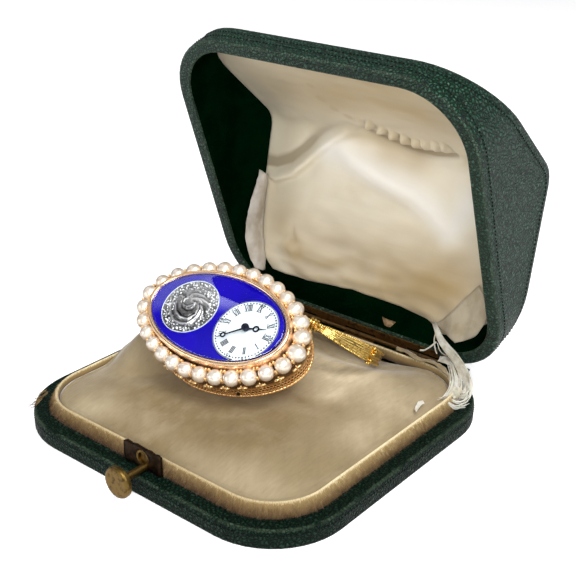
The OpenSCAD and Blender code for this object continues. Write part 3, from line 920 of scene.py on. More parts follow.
def line_object(name, paths, place=None):
    """Loose edges along paths, for the beads to follow."""
    points, edges = [], []
    for path in paths:
        base = len(points)
        points += [((place @ Vector(p)) if place is not None else Vector(p)) * MM for p in path]
        edges += [(base + i, base + i + 1) for i in range(len(path) - 1)]
    mesh = bpy.data.meshes.new(name)
    mesh.from_pydata(points, edges, [])
    return link(name, mesh)


def beads(name, paths, made, spacing, size, place=None, detail=8, uneven=0.1):
    obj = line_object(name, paths, place)
    grow(
        obj, BEADS, Spacing=spacing * MM, Size=tuple(v * MM for v in size), Detail=detail, Uneven=uneven,
        Seed=1, Material=made
    )
    return obj

# %% [markdown]
# ## Box base
#
# The base is a board with round corners, covered in leather that is folded over its edge, so the
# edge has a small round and the fold is rubbed pale. A stack of rings follows that profile better
# than a bevelled box. Its well is hidden by the pad, and one line of tooled dots runs round it.

# %% Box base
def box_ring(inset, z):
    """The box's outline, moved in by inset, at the height z."""
    return flat_ring(plan_ring(BOX_W, BASE_D, CORNER, inset), z)


profile = [
    (1.2, 0.0), (0.35, 0.0), (0.1, 0.1), (0.0, 0.35), (0.0, 1.2), (0.0, 2.2), (0.02, 2.75), (0.1, 3.02),
    (0.28, 3.16), (0.55, 3.2), (1.4, 3.19), (2.6, 3.18), (4.1, 3.15), (4.1, 1.0)
]
base_look = loft("base_leather", [box_ring(i, z) for i, z in profile])
co = points_of(base_look)
mark(base_look, "worn", np.where((co[:, 2] > 3.0) & (co[:, 2] < 3.17), 1.0, 0.0))
dress(base_look, SHADED_BASE_LEATHER, "leather", "root", ["box_base"])
dress(
    beads(
        "base_tooling", [[*box_ring(-0.01, 2.2), box_ring(-0.01, 2.2)[0]]], STITCH, 0.7, (0.24, 0.08, 0.10),
        detail=6
    ),
    STITCH, "leather", "root"
)

# %% [markdown]
# ## Collar
#
# A strip of card covered in velvet stands round the well. Its crest is thin and round, and its
# outer face leans out to the foot. It is one closed ring of its own profile, as the strip itself
# is.

# %% Collar
profile = [
    (4.15, 3.2), (4.13, 4.4), (4.1, 4.95), (4.02, 5.16), (3.9, 5.28), (3.78, 5.3), (3.66, 5.23), (3.55, 5.08),
    (3.3, 4.6), (3.05, 4.1), (2.82, 3.7), (2.66, 3.38), (2.6, 3.2)
]
dress(
    loft("collar_velvet", [box_ring(i, z) for i, z in profile], closed=True), VELVET, "velvet", "root",
    ["collar"]
)

# %% [markdown]
# ### Brushed pile
#
# The pile of the collar's outer face is short brushed hair. Blender's hair would be lost in an
# export, so a Geometry Nodes group scatters fine cones and combs them outward and down over the
# ledge.

# %% Pile
HAIRS, given, g_out = geometry_group(
    "brushed pile",
    [
        ("Density", NUMBER, 2.0e7), ("Length", NUMBER, 0.0008), ("Thickness", NUMBER, 0.00004),
        ("Outward", NUMBER, 0.5), ("Unruly", NUMBER, 0.3), ("Seed", WHOLE, 2),
        ("Material", "NodeSocketMaterial", None)
    ]
)
roots = node(
    HAIRS, "GeometryNodeDistributePointsOnFaces",
    {"Mesh": given["Geometry"], "Density": given["Density"], "Seed": given["Seed"]},
    distribute_method="RANDOM"
)
hair = node(
    HAIRS, "GeometryNodeMeshCone",
    {"Vertices": 3, "Radius Top": 0.0, "Radius Bottom": given["Thickness"], "Depth": given["Length"]},
    fill_type="NGON"
)
outward = node(
    HAIRS, "ShaderNodeVectorMath", {0: roots.outputs["Normal"], "Scale": given["Outward"]}, operation="SCALE"
)
fallen = node(HAIRS, "ShaderNodeVectorMath", {0: outward.outputs[0], 1: (0.0, 0.0, -1.0)}, operation="ADD")
unruly = node(HAIRS, "FunctionNodeRandomValue", {"Seed": given["Seed"]}, data_type="FLOAT_VECTOR")
unruly.inputs[0].default_value, unruly.inputs[1].default_value = (-1, -1, -1), (1, 1, 1)
stirred = node(
    HAIRS, "ShaderNodeVectorMath", {0: unruly.outputs[0], "Scale": given["Unruly"]}, operation="SCALE"
)
heading = node(HAIRS, "ShaderNodeVectorMath", {0: fallen.outputs[0], 1: stirred.outputs[0]}, operation="ADD")
aimed = node(HAIRS, "FunctionNodeAlignRotationToVector", {"Vector": heading.outputs[0]}, axis="Z")
dressed = set_on(HAIRS, given, roots.outputs["Points"], hair.outputs["Mesh"], Rotation=aimed.outputs[0])
HAIRS.links.new(dressed, g_out.inputs["Geometry"])


def pile(name, strip, density, length, seed):
    """Hairs over a strip of the collar, given as (inset, height) pairs from the crest down."""
    obj = loft(name, [box_ring(i, z) for i, z in strip], caps=False)
    grow(
        obj, HAIRS, Density=density * 1e6, Length=length * MM, Thickness=0.04 * MM, Outward=0.5, Unruly=0.35,
        Seed=seed, Material=PILE
    )
    return dress(obj, PILE, "velvet", "root")


pile(
    "collar_pile", [(3.62, 5.2), (3.45, 4.9), (3.25, 4.5), (3.0, 4.05), (2.75, 3.65), (2.6, 3.45)],
    30, 0.85, 4
)

# %% [markdown]
# ## Pad
#
# The pad is stuffed and covered in silk velvet. It is crowned, rises where the watch leans on it,
# has a dip where the hoop leans back, and its edge dives down inside the collar. A height formula
# with a bell for each rise and dip is easy to fit to the outline in the photo.

# %% Pad
def bell(x, y, at, half):
    q = ((x - at[0]) / half[0]) ** 2 + ((y - at[1]) / half[1]) ** 2
    return (1 - q) ** 1.5 if q < 1 else 0.0


def pad_height(x, y, s):
    edge, crown = 4.5, 6.98
    z = edge + (crown - edge) * (1 - s ** 4) * (1 - 0.12 * ((y + 9) / 30) ** 2)
    return z + 1.4 * bell(x, y, (-5, 3), (16, 12)) + 1.3 * bell(x, y, (-17, 4), (9, 15)) + 5.4 * bell(
        x, y, (-19.5, -3.5), (8.5, 9.5)
    ) - 2.1 * bell(x, y, (3.9, 22), (14.5, 8.5))


def pad_rings():
    outline = plan_ring(BOX_W, BASE_D, CORNER, COLLAR_IN + 0.12)
    rings = [flat_ring(outline, 1.1), flat_ring(outline, 3.4)]
    steps = [math.sqrt(1 - k / 44) for k in range(44)]
    for s in steps:
        ring = []
        for x, y in outline:
            z = pad_height(s * x, s * y, s)
            ripple = noise.noise(Vector((s * x * 0.18, s * y * 0.18, 3.0))) * 0.18 * (1 - s ** 6)
            dive = 0.2 * max(0.0, (s - 0.93) / 0.07) ** 2
            ring.append((s * x, s * y, z + ripple - dive))
        rings.append(ring)
    return rings


pad_look = loft("pad_velvet", pad_rings())
co = points_of(pad_look)

# %% [markdown]
# ### The pad's cloth settles
#
# Real cloth over stuffing has small sags that a formula lacks. Blender's Cloth runs for a few
# frames with the edge and the place under the watch held.

# %% Pad cloth settles
SETTLE_FRAMES, SETTLE_MOST = 16, 0.35
at_edge = np.hypot(np.maximum(np.abs(co[:, 0]) - 17.2, 0), np.maximum(np.abs(co[:, 1]) - 16.1, 0)) > 7.6
under_watch = ((co[:, 0] + 5) / 11) ** 2 + ((co[:, 1] - 3) / 8) ** 2 < 1
held = at_edge | under_watch | (co[:, 2] < 4.3)
group = pad_look.vertex_groups.new(name="held")
group.add(np.nonzero(held)[0].tolist(), 1.0, "REPLACE")
cloth = pad_look.modifiers.new("cloth", "CLOTH")
settings = cloth.settings
settings.vertex_group_mass = "held"
settings.quality, settings.mass, settings.shrink_min = 6, 0.15, -0.025
settings.tension_stiffness = settings.compression_stiffness = settings.shear_stiffness = 8.0
settings.bending_stiffness = 0.4
cloth.point_cache.frame_start, cloth.point_cache.frame_end = 1, SETTLE_FRAMES
for frame_number in range(1, SETTLE_FRAMES + 1):
    bpy.context.scene.frame_set(frame_number)
settled = settled_mesh(pad_look)
moved = np.zeros(len(settled.vertices) * 3)
settled.vertices.foreach_get("co", moved)
bpy.data.meshes.remove(settled)
pad_look.modifiers.clear()
pad_look.vertex_groups.clear()
bpy.context.scene.frame_set(1)
shift = moved.reshape(-1, 3) / MM - co
far = np.linalg.norm(shift, axis=1)
shift *= (np.minimum(far, SETTLE_MOST) / np.maximum(far, 1e-6))[:, None]
shift[held] = 0
print(
    "pad cloth moved at most", round(float(far.max()), 2), "mm, kept to", SETTLE_MOST, "mm; mean",
    round(float(far.mean()), 3)
)
pad_look.data.vertices.foreach_set("co", ((co + shift) * MM).ravel())
pad_look.data.update()

# %% [markdown]
# ### The pad's stains
#
# Each stain is a soft oval whose place and strength were read off the photo. The ovals are kept as a number
# on each point, and the pad's material turns the number into brown or pale. The brown holds stains and a
# painted shadow in front of the watch; the pale holds pale patches and painted light beside the watch and
# under the hoop.

# %% Pad stains
def patches_at(co, spots):
    """How much each point lies in soft ovals of (x, y, half width, half depth, strength)."""
    return sum(
        f * np.exp(-(((co[:, 0] - x) / a) ** 2 + ((co[:, 1] - y) / b) ** 2)) for x, y, a, b, f in spots
    )


# Brown ovals; the one at (-1, -16.8) is painted shadow in front of the watch.
stains_and_shadow = [
    (2.5, -10.4, 8, 3.2, 1.3), (9.6, -9.6, 5.0, 4.4, 1.6), (9.9, -1.0, 2.4, 2.2, 0.9),
    (6.7, 9.3, 2.6, 2.4, 1.2), (-1.0, -16.8, 4, 2.6, 0.9), (-6.8, -15.3, 5, 4, 0.7),
    (12.5, -11.7, 1.4, 4.5, 1.1), (-12, -13, 4, 5, 0.5), (-7.1, -23.6, 7, 2.6, 0.6),
    (3.5, -23.5, 7, 2.2, 0.5), (21.5, -6, 2.5, 5, 0.5), (-19, -16, 3, 6, 0.4), (6, -14, 6, 4, 0.7),
    (9, -17, 6, 3.6, 0.55)
]
# Pale ovals; the ones beside the watch and under the hoop are painted light.
pales_and_light = [
    (9.0, 12.6, 5.5, 5, 1.5), (12.4, 4.5, 1.8, 2.6, 0.8), (19.6, 10.2, 4.5, 5, 0.35),
    (17.0, -20.9, 7, 3.5, 0.3), (5, 14, 6, 5, 0.9), (22, -1, 3.5, 6, 0.4), (-16.4, -21.5, 4, 3, 0.3)
]
mark(pad_look, "stain", patches_at(co, stains_and_shadow))
mark(pad_look, "pale", patches_at(co, pales_and_light))
dress(pad_look, PAD_CLOTH, "pad_cloth", "root", ["pad"])

# %% [markdown]
# ## Lid
#
# The lid is a round-cornered frame with a ridged roof, covered in the same leather. One skin goes from the
# middle of the roof over its rounded edge, down the wall, round the rim and up inside, because the leather is
# one piece too. The inside gets the same leather painted darker as shade.

# %% Lid
def roof_depth(t):
    """Height of the roof above the rim at a distance t from the hinge end; its ridge is soft."""
    a = 3.5 + 0.5719 * t
    b = 20.8 - 0.5794 * (t - 30.25)
    k = 2.6
    h = max(k - abs(a - b), 0.0) / k
    return min(a, b) - h * h * k / 4


def lid_ring(inset):
    return plan_ring(BOX_W, LID_D, CORNER, inset, middle=LID_BACK - LID_D / 2, corner=12, side=26)


def roof_z(y, drop=0.0):
    return HINGE_Z + roof_depth(LID_BACK - y) - drop


EDGE_ROUND = 1.5
rings = []
outer = lid_ring(EDGE_ROUND)
centre = Vector((0, LID_BACK - LID_D / 2))
for s in [0.02] + [math.sqrt(k / 44) for k in range(1, 44)]:
    ring = [(x * s, centre.y + (y - centre.y) * s) for x, y in outer]
    rings.append([(x, y, roof_z(y)) for x, y in ring])
for inset in (1.5, 1.15, 0.8, 0.5, 0.25, 0.08, 0.0):
    drop = EDGE_ROUND - math.sqrt(max(EDGE_ROUND ** 2 - (EDGE_ROUND - inset) ** 2, 0.0))
    rings.append([(x, y, roof_z(y, drop)) for x, y in lid_ring(inset)])
wall = rings[-1]
for f in (0.8, 0.6, 0.4, 0.2, 0.08):
    rings.append([(x, y, HINGE_Z + 0.35 + (z - HINGE_Z - 0.35) * f) for x, y, z in wall])
for inset, z in (
    (0.0, 0.35), (0.08, 0.14), (0.25, 0.03), (0.5, 0.0), (1.2, -0.02), (1.9, 0.0), (2.15, 0.05), (2.3, 0.2),
    (2.36, 0.45)
):
    rings.append([(x, y, HINGE_Z + z) for x, y in lid_ring(inset)])
inside = lid_ring(LID_WALL)
for f in (0.25, 0.5, 0.75, 1.0):
    rings.append([(x, y, HINGE_Z + 0.45 + (roof_z(y, ROOF_WALL) - HINGE_Z - 0.45) * f) for x, y in inside])
for s in [math.sqrt(k / 40) for k in range(39, 0, -1)] + [0.02]:
    rings.append(
        [
            (x * s, centre.y + (y - centre.y) * s, roof_z(centre.y + (y - centre.y) * s, ROOF_WALL))
            for x, y in inside
        ]
    )
lid_look = loft("lid_leather", rings, place=LID)
closed = points_in(LID, lid_look)
rim = np.where((closed[:, 2] < HINGE_Z + 0.2) & (closed[:, 2] > HINGE_Z + 0.01), 1.0, 0.0)
mark(lid_look, "worn", rim)
dress(lid_look, LIT_LEATHER, "leather", "lid", ["lid_shell"])
lid_look.data.materials.append(SHADED_INNER_LEATHER)
reach_in = np.abs(closed[:, :2] - (0, centre.y)) - (BOX_W / 2 - CORNER, LID_D / 2 - CORNER)
inset = CORNER - np.hypot(*np.maximum(reach_in, 0).T) - np.minimum(reach_in.max(axis=1), 0)
roof = np.array([roof_depth(LID_BACK - y) for y in closed[:, 1]])
height = closed[:, 2] - HINGE_Z
within = (inset > LID_WALL - 0.1) & (height > 0.3) & (height < roof - ROOF_WALL + 0.1)
inner_points = set(np.nonzero(within)[0].tolist())
for face in lid_look.data.polygons:
    if all(v in inner_points for v in face.vertices):
        face.material_index = 1
print(
    "lid", len(lid_look.data.polygons), "faces,", sum(f.material_index for f in lid_look.data.polygons),
    "inside"
)

# %% [markdown]
# ### Tooled lines on the lid
#
# A wheel has pressed a row of dots round the rim and another under the roof. They are beads on the
# wall's own outline.

# %% Lid tooling
low_line = [(x, y, HINGE_Z + 1.75) for x, y in lid_ring(-0.01)]
high_line = [(x, y, roof_z(y, 2.3)) for x, y in lid_ring(-0.01)]
tooling = beads(
    "lid_tooling", [low_line + low_line[:1], high_line + high_line[:1]], STITCH, 0.68, (0.24, 0.10, 0.14),
    LID, detail=6
)
dress(tooling, STITCH, "leather", "lid")

# %% [markdown]
# ## Satin lining
#
# A piece of cream satin is glued inside the roof and has come loose at the hinge end. It is
# stretched, and its folds are seams and pulls at fixed places, so a simulation wouldn't find them.
# They are added as raised lines: a crease at the left, a diagonal pull, a gathered row of stitches
# and slack below.

# %% Satin folds
def inner_half(t):
    """Half width of the lid's inside at a distance t from the hinge end."""
    r = CORNER - LID_WALL
    w = BOX_W / 2 - LID_WALL - 0.12
    near = min(t - LID_WALL, LID_D - LID_WALL - t)
    return w - r + math.sqrt(max(r * r - (r - min(near, r)) ** 2, 0.0))


def line_distance(x, t, line):
    """Distance to a bent line, the share of the way along it and the side that the point lies on."""
    best = (1e9, 0.0, 1.0)
    length = [0.0]
    for p, q in zip(line, line[1:]):
        length.append(length[-1] + math.dist(p, q))
    for i, (p, q) in enumerate(zip(line, line[1:])):
        dx, dy = q[0] - p[0], q[1] - p[1]
        f = min(max(((x - p[0]) * dx + (t - p[1]) * dy) / (dx * dx + dy * dy), 0), 1)
        d = math.hypot(x - p[0] - f * dx, t - p[1] - f * dy)
        if d < best[0]:
            side = 1.0 if dx * (t - p[1]) - dy * (x - p[0]) > 0 else -1.0
            best = (d, (length[i] + f * (length[i + 1] - length[i])) / length[-1], side)
    return best


CREASE = [
    (-26.9, 20.4), (-24.5, 20.5), (-20.5, 22.1), (-17.5, 24.6), (-14.8, 27.1), (-11.6, 29.4), (-6.7, 32.1)
]
PULL = [(-12.4, 27.2), (-9.1, 27.4), (-4.4, 26.5), (1.2, 25.3), (6.7, 24.2), (11.3, 22.0), (14.4, 19.3)]
GATHER = [
    (-4.0, 36.7), (-2.8, 36.2), (-0.7, 35.0), (1.3, 33.8), (3.8, 33.1), (6.4, 32.7), (9.4, 32.9),
    (12.2, 33.4), (14.6, 33.9)
]
LOW_FOLD = [(-21.0, 10.4), (-18.4, 9.1), (-16.8, 9.9)]


def satin_rise(x, t):
    d, f, side = line_distance(x, t, CREASE)
    fade = math.sin(math.pi * min(max(0.15 + 0.85 * (1 - f), 0), 1) * 0.5)
    rise = 1.5 * fade * math.exp(-(d / 0.9) ** 2) - 0.8 * fade * math.exp(-((d * side - 2.1) / 1.1) ** 2)
    d, f, side = line_distance(x, t, PULL)
    rise += 1.9 * math.sin(math.pi * (0.12 + 0.76 * f)) * math.exp(-(d / 3.0) ** 2)
    d, f, side = line_distance(x, t, GATHER)
    teeth = max(math.sin(TURN * f * 9), -0.5)
    row = min(f / 0.15, 1) * min((1 - f) / 0.06, 1)
    rise += (1.15 * teeth + 0.2) * row * math.exp(-(d / 1.25) ** 2) - 0.7 * row * math.exp(
        -((d * side + 2.4) / 1.0) ** 2
    )
    d, f, side = line_distance(x, t, LOW_FOLD)
    rise += 0.45 * math.exp(-(d / 1.9) ** 2) * math.sin(math.pi * f) - 0.35 * math.exp(
        -((d * side - 2.0) / 1.4) ** 2
    ) * math.sin(math.pi * f)
    slack = math.exp(-((t - 7) / 5) ** 2)
    rise += 0.25 * noise.noise(
        Vector((x * 0.09, t * 0.16, 1.0))
    ) + (0.10 + 0.45 * slack) * noise.noise(Vector((x * 0.22, t * 0.45, 4.0)))
    return rise


LOW_EDGE = (
    (-25.3, -15.9, -4.2, 7.0, 13.5, 16.8, 19.4, 23.8, 25.3), (4.3, 4.3, 5.3, 5.2, 4.6, 3.7, 3.1, 7.0, 9.5)
)


def loose_corner(x, t):
    """How far the satin stands off the roof near the corner that has come unglued."""
    loose = max(0.0, 1 - math.dist((x, t), (20, 5)) / 6)
    return 1.4 * loose * loose


def satin_point(u, v):
    low = float(np.interp(u * 25.3, *LOW_EDGE))
    t = low + v * (54.2 - low)
    x = u * inner_half(max(t, LID_WALL + 0.6))
    puff = 0.9 * (1 - abs(u) ** 6) * min(v / 0.05, 1) ** 0.5
    rise = puff + satin_rise(x, t) * (1 - abs(u) ** 14)
    rise += loose_corner(x, t)
    depth = roof_depth(t) - ROOF_WALL - 0.2 - max(rise, 0.4 * min(v / 0.04, 1))
    return (x, LID_BACK - t, HINGE_Z + depth)

# %% [markdown]
# ### The satin as a sheet
#
# A fine grid over the roof's inside carries the folds. It also carries three painted numbers: yellowed stains
# that also paint shade, a painted highlight along the pull, and the fold's height, which paints the hollows
# darker as shade. Then it gets a thickness.

# %% Satin sheet
COLS, ROWS, SATIN_THICK = 150, 190, 0.12
points = [satin_point(-1 + 2 * i / COLS, j / ROWS) for j in range(ROWS + 1) for i in range(COLS + 1)]
faces = [
    (j * (COLS + 1) + i, j * (COLS + 1) + i + 1, (j + 1) * (COLS + 1) + i + 1, (j + 1) * (COLS + 1) + i)
    for j in range(ROWS) for i in range(COLS)
]
satin = finish_mesh("satin_lining", points, faces, place=LID)
flat = np.array(points)
lift = np.array([satin_rise(p[0], LID_BACK - p[1]) for p in points])
# Yellowed patches that also paint shade: over the upper roof, in a band below the gathered row and near the
# hinge end.
aged = [
    (-8.0, 41.6, 0.6, 1.0), (-6.9, 38.9, 0.6, 1.0), (-5.1, 37.0, 0.7, 1.0), (-7.7, 45.5, 0.5, 0.8),
    (5, 47, 11, 0.75), (-5, 42, 8, 0.6), (14, 43, 8, 0.6), (-17, 42, 9, 0.6), (0, 29.8, 3.6, 0.7),
    (6, 29.6, 3.2, 0.7), (-6, 30.2, 2.6, 0.4), (12, 10, 6, 0.75), (18, 12, 5, 0.6), (3, 9, 7, 0.65),
    (-7, 10, 6.5, 0.55), (-17, 12, 7, 0.45), (-18.4, 9.3, 2.4, 0.7), (-14, 7, 4, 0.4), (-22, 13, 3, 0.3)
]
stain = sum(
    f * np.exp(-(((flat[:, 0] - x) / r) ** 2 + ((LID_BACK - flat[:, 1] - t) / r) ** 2)) for x, t, r, f in aged
)
near_pull = np.array([line_distance(p[0], LID_BACK - p[1], PULL + [(17.5, 24.0)])[0] for p in points])
# The pale is a painted highlight along the pull.
mark(satin, "pale", np.exp(-(near_pull / 2.6) ** 2))
# The stain holds yellowing and painted shade.
mark(satin, "stain", stain)
# The fold's height, which the material turns into painted shade in the hollows.
mark(satin, "fold_shade", 0.5 + 0.5 * np.clip(lift, -1, 1))
dress(satin, SATIN, "satin", "lid", ["lid_lining"])
thick = satin.modifiers.new("thickness", "SOLIDIFY")
thick.thickness = SATIN_THICK * MM
mesh = settled_mesh(satin)
satin.modifiers.clear()
satin.data = mesh

# %% [markdown]
# ### Hinge strip
#
# A strip of the same leather joins the lid to the base behind the brass hinge. It is a thin sheet between the
# two.

# %% Hinge strip
strip_rows = [(28.2, 2.7), (28.75, 3.0), (29.05, 3.5), (29.3, 4.0), (29.5, 4.45)]
front_side = [[(x, y, z) for x in np.linspace(-23, 23, 24)] for y, z in strip_rows]
points = [p for row in front_side for p in row] + [
    (x, y + 0.25, z - 0.12) for row in front_side for x, y, z in row
]
strip = finish_mesh("hinge_strip", points, sheet_faces(len(strip_rows), 24))
# The strip's leather is painted darker as shade.
dress(strip, SHADED_INNER_LEATHER, "leather")
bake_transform(strip)

# %% [markdown]
# ## Torn silk
#
# The old silk has rotted. At the right a bundle of threads still joins the lining to the box's corner, so it
# crosses the hinge; a veil, loose ends and a frayed corner of the collar lie on the base. Threads are tubes
# scattered round a guide line that was read off the photo.

# %% Silk threads
def strands(guide, count, spread, radius, other=None, seed=1):
    """Thin strands round a guide line; with a second line they are shared out between the two."""
    dice = np.random.default_rng(seed)
    line = smooth_path(guide, 6)
    second = smooth_path(other, 6) if other else None
    paths, radii = [], []
    for _ in range(count):
        turn, far = dice.uniform(0, TURN), math.sqrt(dice.uniform(0, 1))
        share, twist, drift = dice.uniform(0, 1), dice.uniform(-1.5, 1.5), Vector(dice.uniform(-9, 9, 3))
        start, end = dice.uniform(0, 0.12), 1 - dice.uniform(0, 0.25)
        path = []
        for i, p in enumerate(line):
            f = i / (len(line) - 1)
            if not start <= f <= end:
                continue
            if second:
                q = second[round(f * (len(second) - 1))]
                p = p + (q - p) * share
            wide = spread(f) * far
            a = turn + twist * f
            wave = Vector(
                (
                    noise.noise(drift + Vector((f * 3, 0, 0))), noise.noise(drift + Vector((0, f * 3, 5))),
                    noise.noise(drift + Vector((0, 9, f * 3)))
                )
            )
            path.append(
                p + Vector(
                    (math.cos(a) * wide, math.sin(a) * wide * 0.6, math.sin(a) * wide)
                ) + wave * 0.35 * spread(f)
            )
        if len(path) > 3:
            paths.append(path)
            size = radius * dice.uniform(0.6, 1.3)
            radii.append(lambda f, size=size: size * (1 - 0.6 * f ** 3))
    return paths, radii


BUNDLE = [
    (14.0, 31.3, 10.5), (16.8, 28.2, 10.4), (17.9, 27.9, 9.0), (19.4, 27.5, 8.1), (21.2, 27.0, 7.4),
    (23.1, 26.3, 6.4), (24.7, 25.5, 5.4), (26.7, 23.1, 5.2), (27.3, 21.9, 4.4), (27.1, 20.8, 3.7),
    (26.6, 19.3, 3.6)
]
VEIL = [
    (19.7, 27.2, 5.6), (22.2, 23.9, 6.0), (24.0, 21.1, 5.9), (25.0, 18.5, 5.9), (25.3, 16.2, 5.7),
    (24.8, 15.3, 5.6)
]
paths, radii = strands(
    BUNDLE, 30, lambda f: 0.22 + 0.35 * math.sin(math.pi * min(f * 1.1, 1)) + 0.45 * f * f, 0.085, seed=3
)
for guide, thick in (
    ([(16.6, 28.2, 10.0), (16.5, 28.0, 8.5), (16.9, 27.8, 7.1), (17.4, 27.7, 6.2)], 0.13),
    ([(17.0, 27.9, 8.3), (16.0, 27.6, 7.1), (15.0, 27.4, 6.2), (14.2, 27.3, 6.0)], 0.16),
    ([(17.2, 27.9, 8.2), (18.1, 27.5, 7.1), (19.3, 27.3, 6.8), (20.2, 27.3, 7.3), (20.9, 27.4, 8.1)], 0.09)
):
    paths.append(smooth_path(guide, 6))
    radii.append(thick)
silk = tube("silk_bundle", paths, radii, 5)
dress(silk, SILK, "satin")
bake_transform(silk)

paths, radii = strands(BUNDLE[4:], 40, lambda f: 0.2 + 0.35 * f, 0.08, other=VEIL, seed=8)
veil = tube("silk_veil", paths, radii, 5)
dress(veil, SILK, "satin", "root")

paths, radii = [], []
for seed, guide in enumerate(
    (
        [(26.1, 17.5, 4.9), (27.0, 18.8, 3.9), (27.5, 20.3, 3.6), (27.4, 22.6, 3.5)],
        [(26.4, 16.5, 4.9), (27.4, 17.7, 3.8), (28.0, 19.3, 3.5), (28.2, 20.9, 3.4)],
        [(25.2, 21.0, 5.9), (26.6, 20.4, 5.2), (26.9, 21.1, 5.0), (26.5, 22.4, 5.4)],
        [(25.5, 19.6, 5.9), (26.7, 19.7, 4.8), (26.9, 21.2, 4.4), (26.7, 22.7, 5.0)]
    )
):
    more, sizes_of = strands(guide, 12, lambda f: 0.2 + 0.45 * f, 0.075, seed=20 + seed)
    paths += more
    radii += sizes_of
ends = tube("silk_ends", paths, radii, 4)
dress(ends, SILK, "satin", "root")
paths, radii = [], []
for seed, guide in enumerate(
    (
        [(-24.2, -24.9, 4.9), (-25.0, -25.9, 4.0), (-26.0, -26.6, 3.5)],
        [(-25.3, -22.9, 4.9), (-26.3, -23.9, 3.9), (-27.2, -24.4, 3.5)]
    )
):
    more, sizes_of = strands(guide, 16, lambda f: 0.3 + 0.8 * f, 0.035, seed=40 + seed)
    paths += more
    radii += sizes_of
frayed = tube("collar_frayed_corner", paths, radii, 4)
dress(frayed, PILE, "velvet", "root")

# %% [markdown]
# ### Silk patches
#
# A bare white patch, a small tear and the wavy edge of a loose cloth lie along the collar. Each is
# a thin sheet through rows of points, made a little uneven with noise.

# %% Silk patches
def patch(name, rows, thick, made, slot, body, place=None, ripple=0.12):
    """A small piece of cloth through rows of points, closed on both faces and a little uneven."""
    rows = [smooth_path(row, 6) for row in rows]
    lines = [smooth_path([row[i] for row in rows], 6) for i in range(len(rows[0]))]
    n, m = len(lines), len(lines[0])
    top = [lines[i][j] for i in range(n) for j in range(m)]
    top = [
        p + Vector(
            (
                noise.noise(p * 0.7), noise.noise(p * 0.7 + Vector((5, 0, 0))),
                noise.noise(p * 0.7 + Vector((0, 5, 0)))
            )
        ) * ripple
        for p in top
    ]
    across = (top[m - 1] - top[0]).cross(top[(n - 1) * m] - top[0]).normalized()
    points = top + [p - across * thick for p in top]
    return dress(finish_mesh(name, points, sheet_faces(n, m), place=place), made, slot, body)


patch(
    "silk_white_patch",
    [
        [(18.1, 26.8, 5.3), (19.6, 26.3, 5.7), (21.6, 26.0, 5.8)],
        [(17.9, 27.7, 5.5), (19.5, 27.6, 5.9), (21.6, 27.0, 6.0)],
        [(17.8, 28.5, 5.4), (19.3, 28.8, 5.6), (21.5, 28.0, 6.1)]
    ],
    0.15, SILK, "satin", "root", ripple=0.35
)
patch(
    "silk_tear",
    [
        [(23.6, 13.9, 5.3), (23.3, 12.7, 5.35), (24.2, 10.5, 5.25)],
        [(24.4, 13.2, 5.4), (24.4, 12.1, 5.45), (24.9, 9.9, 5.35)]
    ],
    0.12, SILK, "satin", "root", ripple=0.25
)
loose = [
    (10.8, 24.7, 5.7), (12.8, 24.9, 5.9), (15.3, 24.1, 5.7), (18.2, 24.4, 6.0), (20.6, 23.7, 5.8),
    (22.6, 22.7, 5.8), (23.6, 21.8, 5.5)
]
patch(
    "loose_cloth_edge",
    [
        loose, [(x - 0.2, y + 0.9, z + 0.25 * math.sin(x * 1.3)) for x, y, z in loose],
        [(x, y + 1.7, z - 0.9) for x, y, z in loose]
    ],
    0.2, PAD_CLOTH, "pad_cloth", "root", ripple=0.3
)

# %% [markdown]
# ### Peeled silk in the lid
#
# A strip of silk has come away from the lid's wall at the lower left, at the other end a corner of
# the satin is folded back, and one spot of the board is bare. They are sheets in the lid's own
# measure, so they ride with it.

# %% Peeled silk in the lid
def in_lid(x, t, depth):
    return (x, LID_BACK - t, HINGE_Z + depth)


LEFT_EDGE = [(22.4, 11.0), (19.3, 8.0), (16.4, 5.2), (12.3, 2.9), (8.8, 1.6), (6.2, 1.0)]
RIGHT_EDGE = [
    (-26.9, 20.6, 12.3), (-26.7, 18.2, 11.0), (-26.6, 15.0, 9.0), (-26.3, 11.0, 6.8), (-25.4, 7.5, 4.9),
    (-24.4, 4.6, 3.3)
]
on_wall = [in_lid(-inner_half(max(t, LID_WALL + 0.6)) + 0.35, t, depth) for t, depth in LEFT_EDGE]
on_roof = [in_lid(*p) for p in RIGHT_EDGE]
between = [
    tuple((a + b) / 2 + c for a, b, c in zip(p, q, (0.8, 0.0, -0.5))) for p, q in zip(on_wall, on_roof)
]
patch("silk_flap", [on_wall, between, on_roof], 0.12, FLAP_SILK, "satin", "lid", LID, ripple=0.22)


def over_satin(x, t, lift):
    return in_lid(x, t, roof_depth(t) - ROOF_WALL - 1.1 - satin_rise(x, t) - loose_corner(x, t) - lift)


fold_line = [over_satin(x, t, 0.45) for x, t in ((22.0, 13.0), (19.1, 9.6), (16.8, 6.8), (15.0, 5.3))]
fold_middle = [over_satin(x, t, 0.6) for x, t in ((23.6, 11.4), (21.6, 8.2), (19.6, 6.0), (17.4, 4.7))]
fold_outside = [over_satin(x, t, 0.5) for x, t in ((24.9, 9.6), (24.2, 7.2), (22.6, 5.2), (19.8, 3.9))]
patch(
    "satin_corner", [fold_line, fold_middle, fold_outside], 0.12, CORNER_SILK, "satin", "lid", LID,
    ripple=0.15
)
spot = [
    (3.2, 3.0), (4.7, 2.85), (6.3, 2.9)
], [(4.0, 2.1), (5.2, 2.2), (6.2, 2.0)], [(4.9, 1.3), (5.5, 1.2), (6.1, 1.3)]
patch(
    "peeled_spot", [[(x, 26.5, HINGE_Z + depth) for x, depth in row] for row in spot], 0.06, BARE_BOARD,
    "leather", "lid", LID, ripple=0.02
)

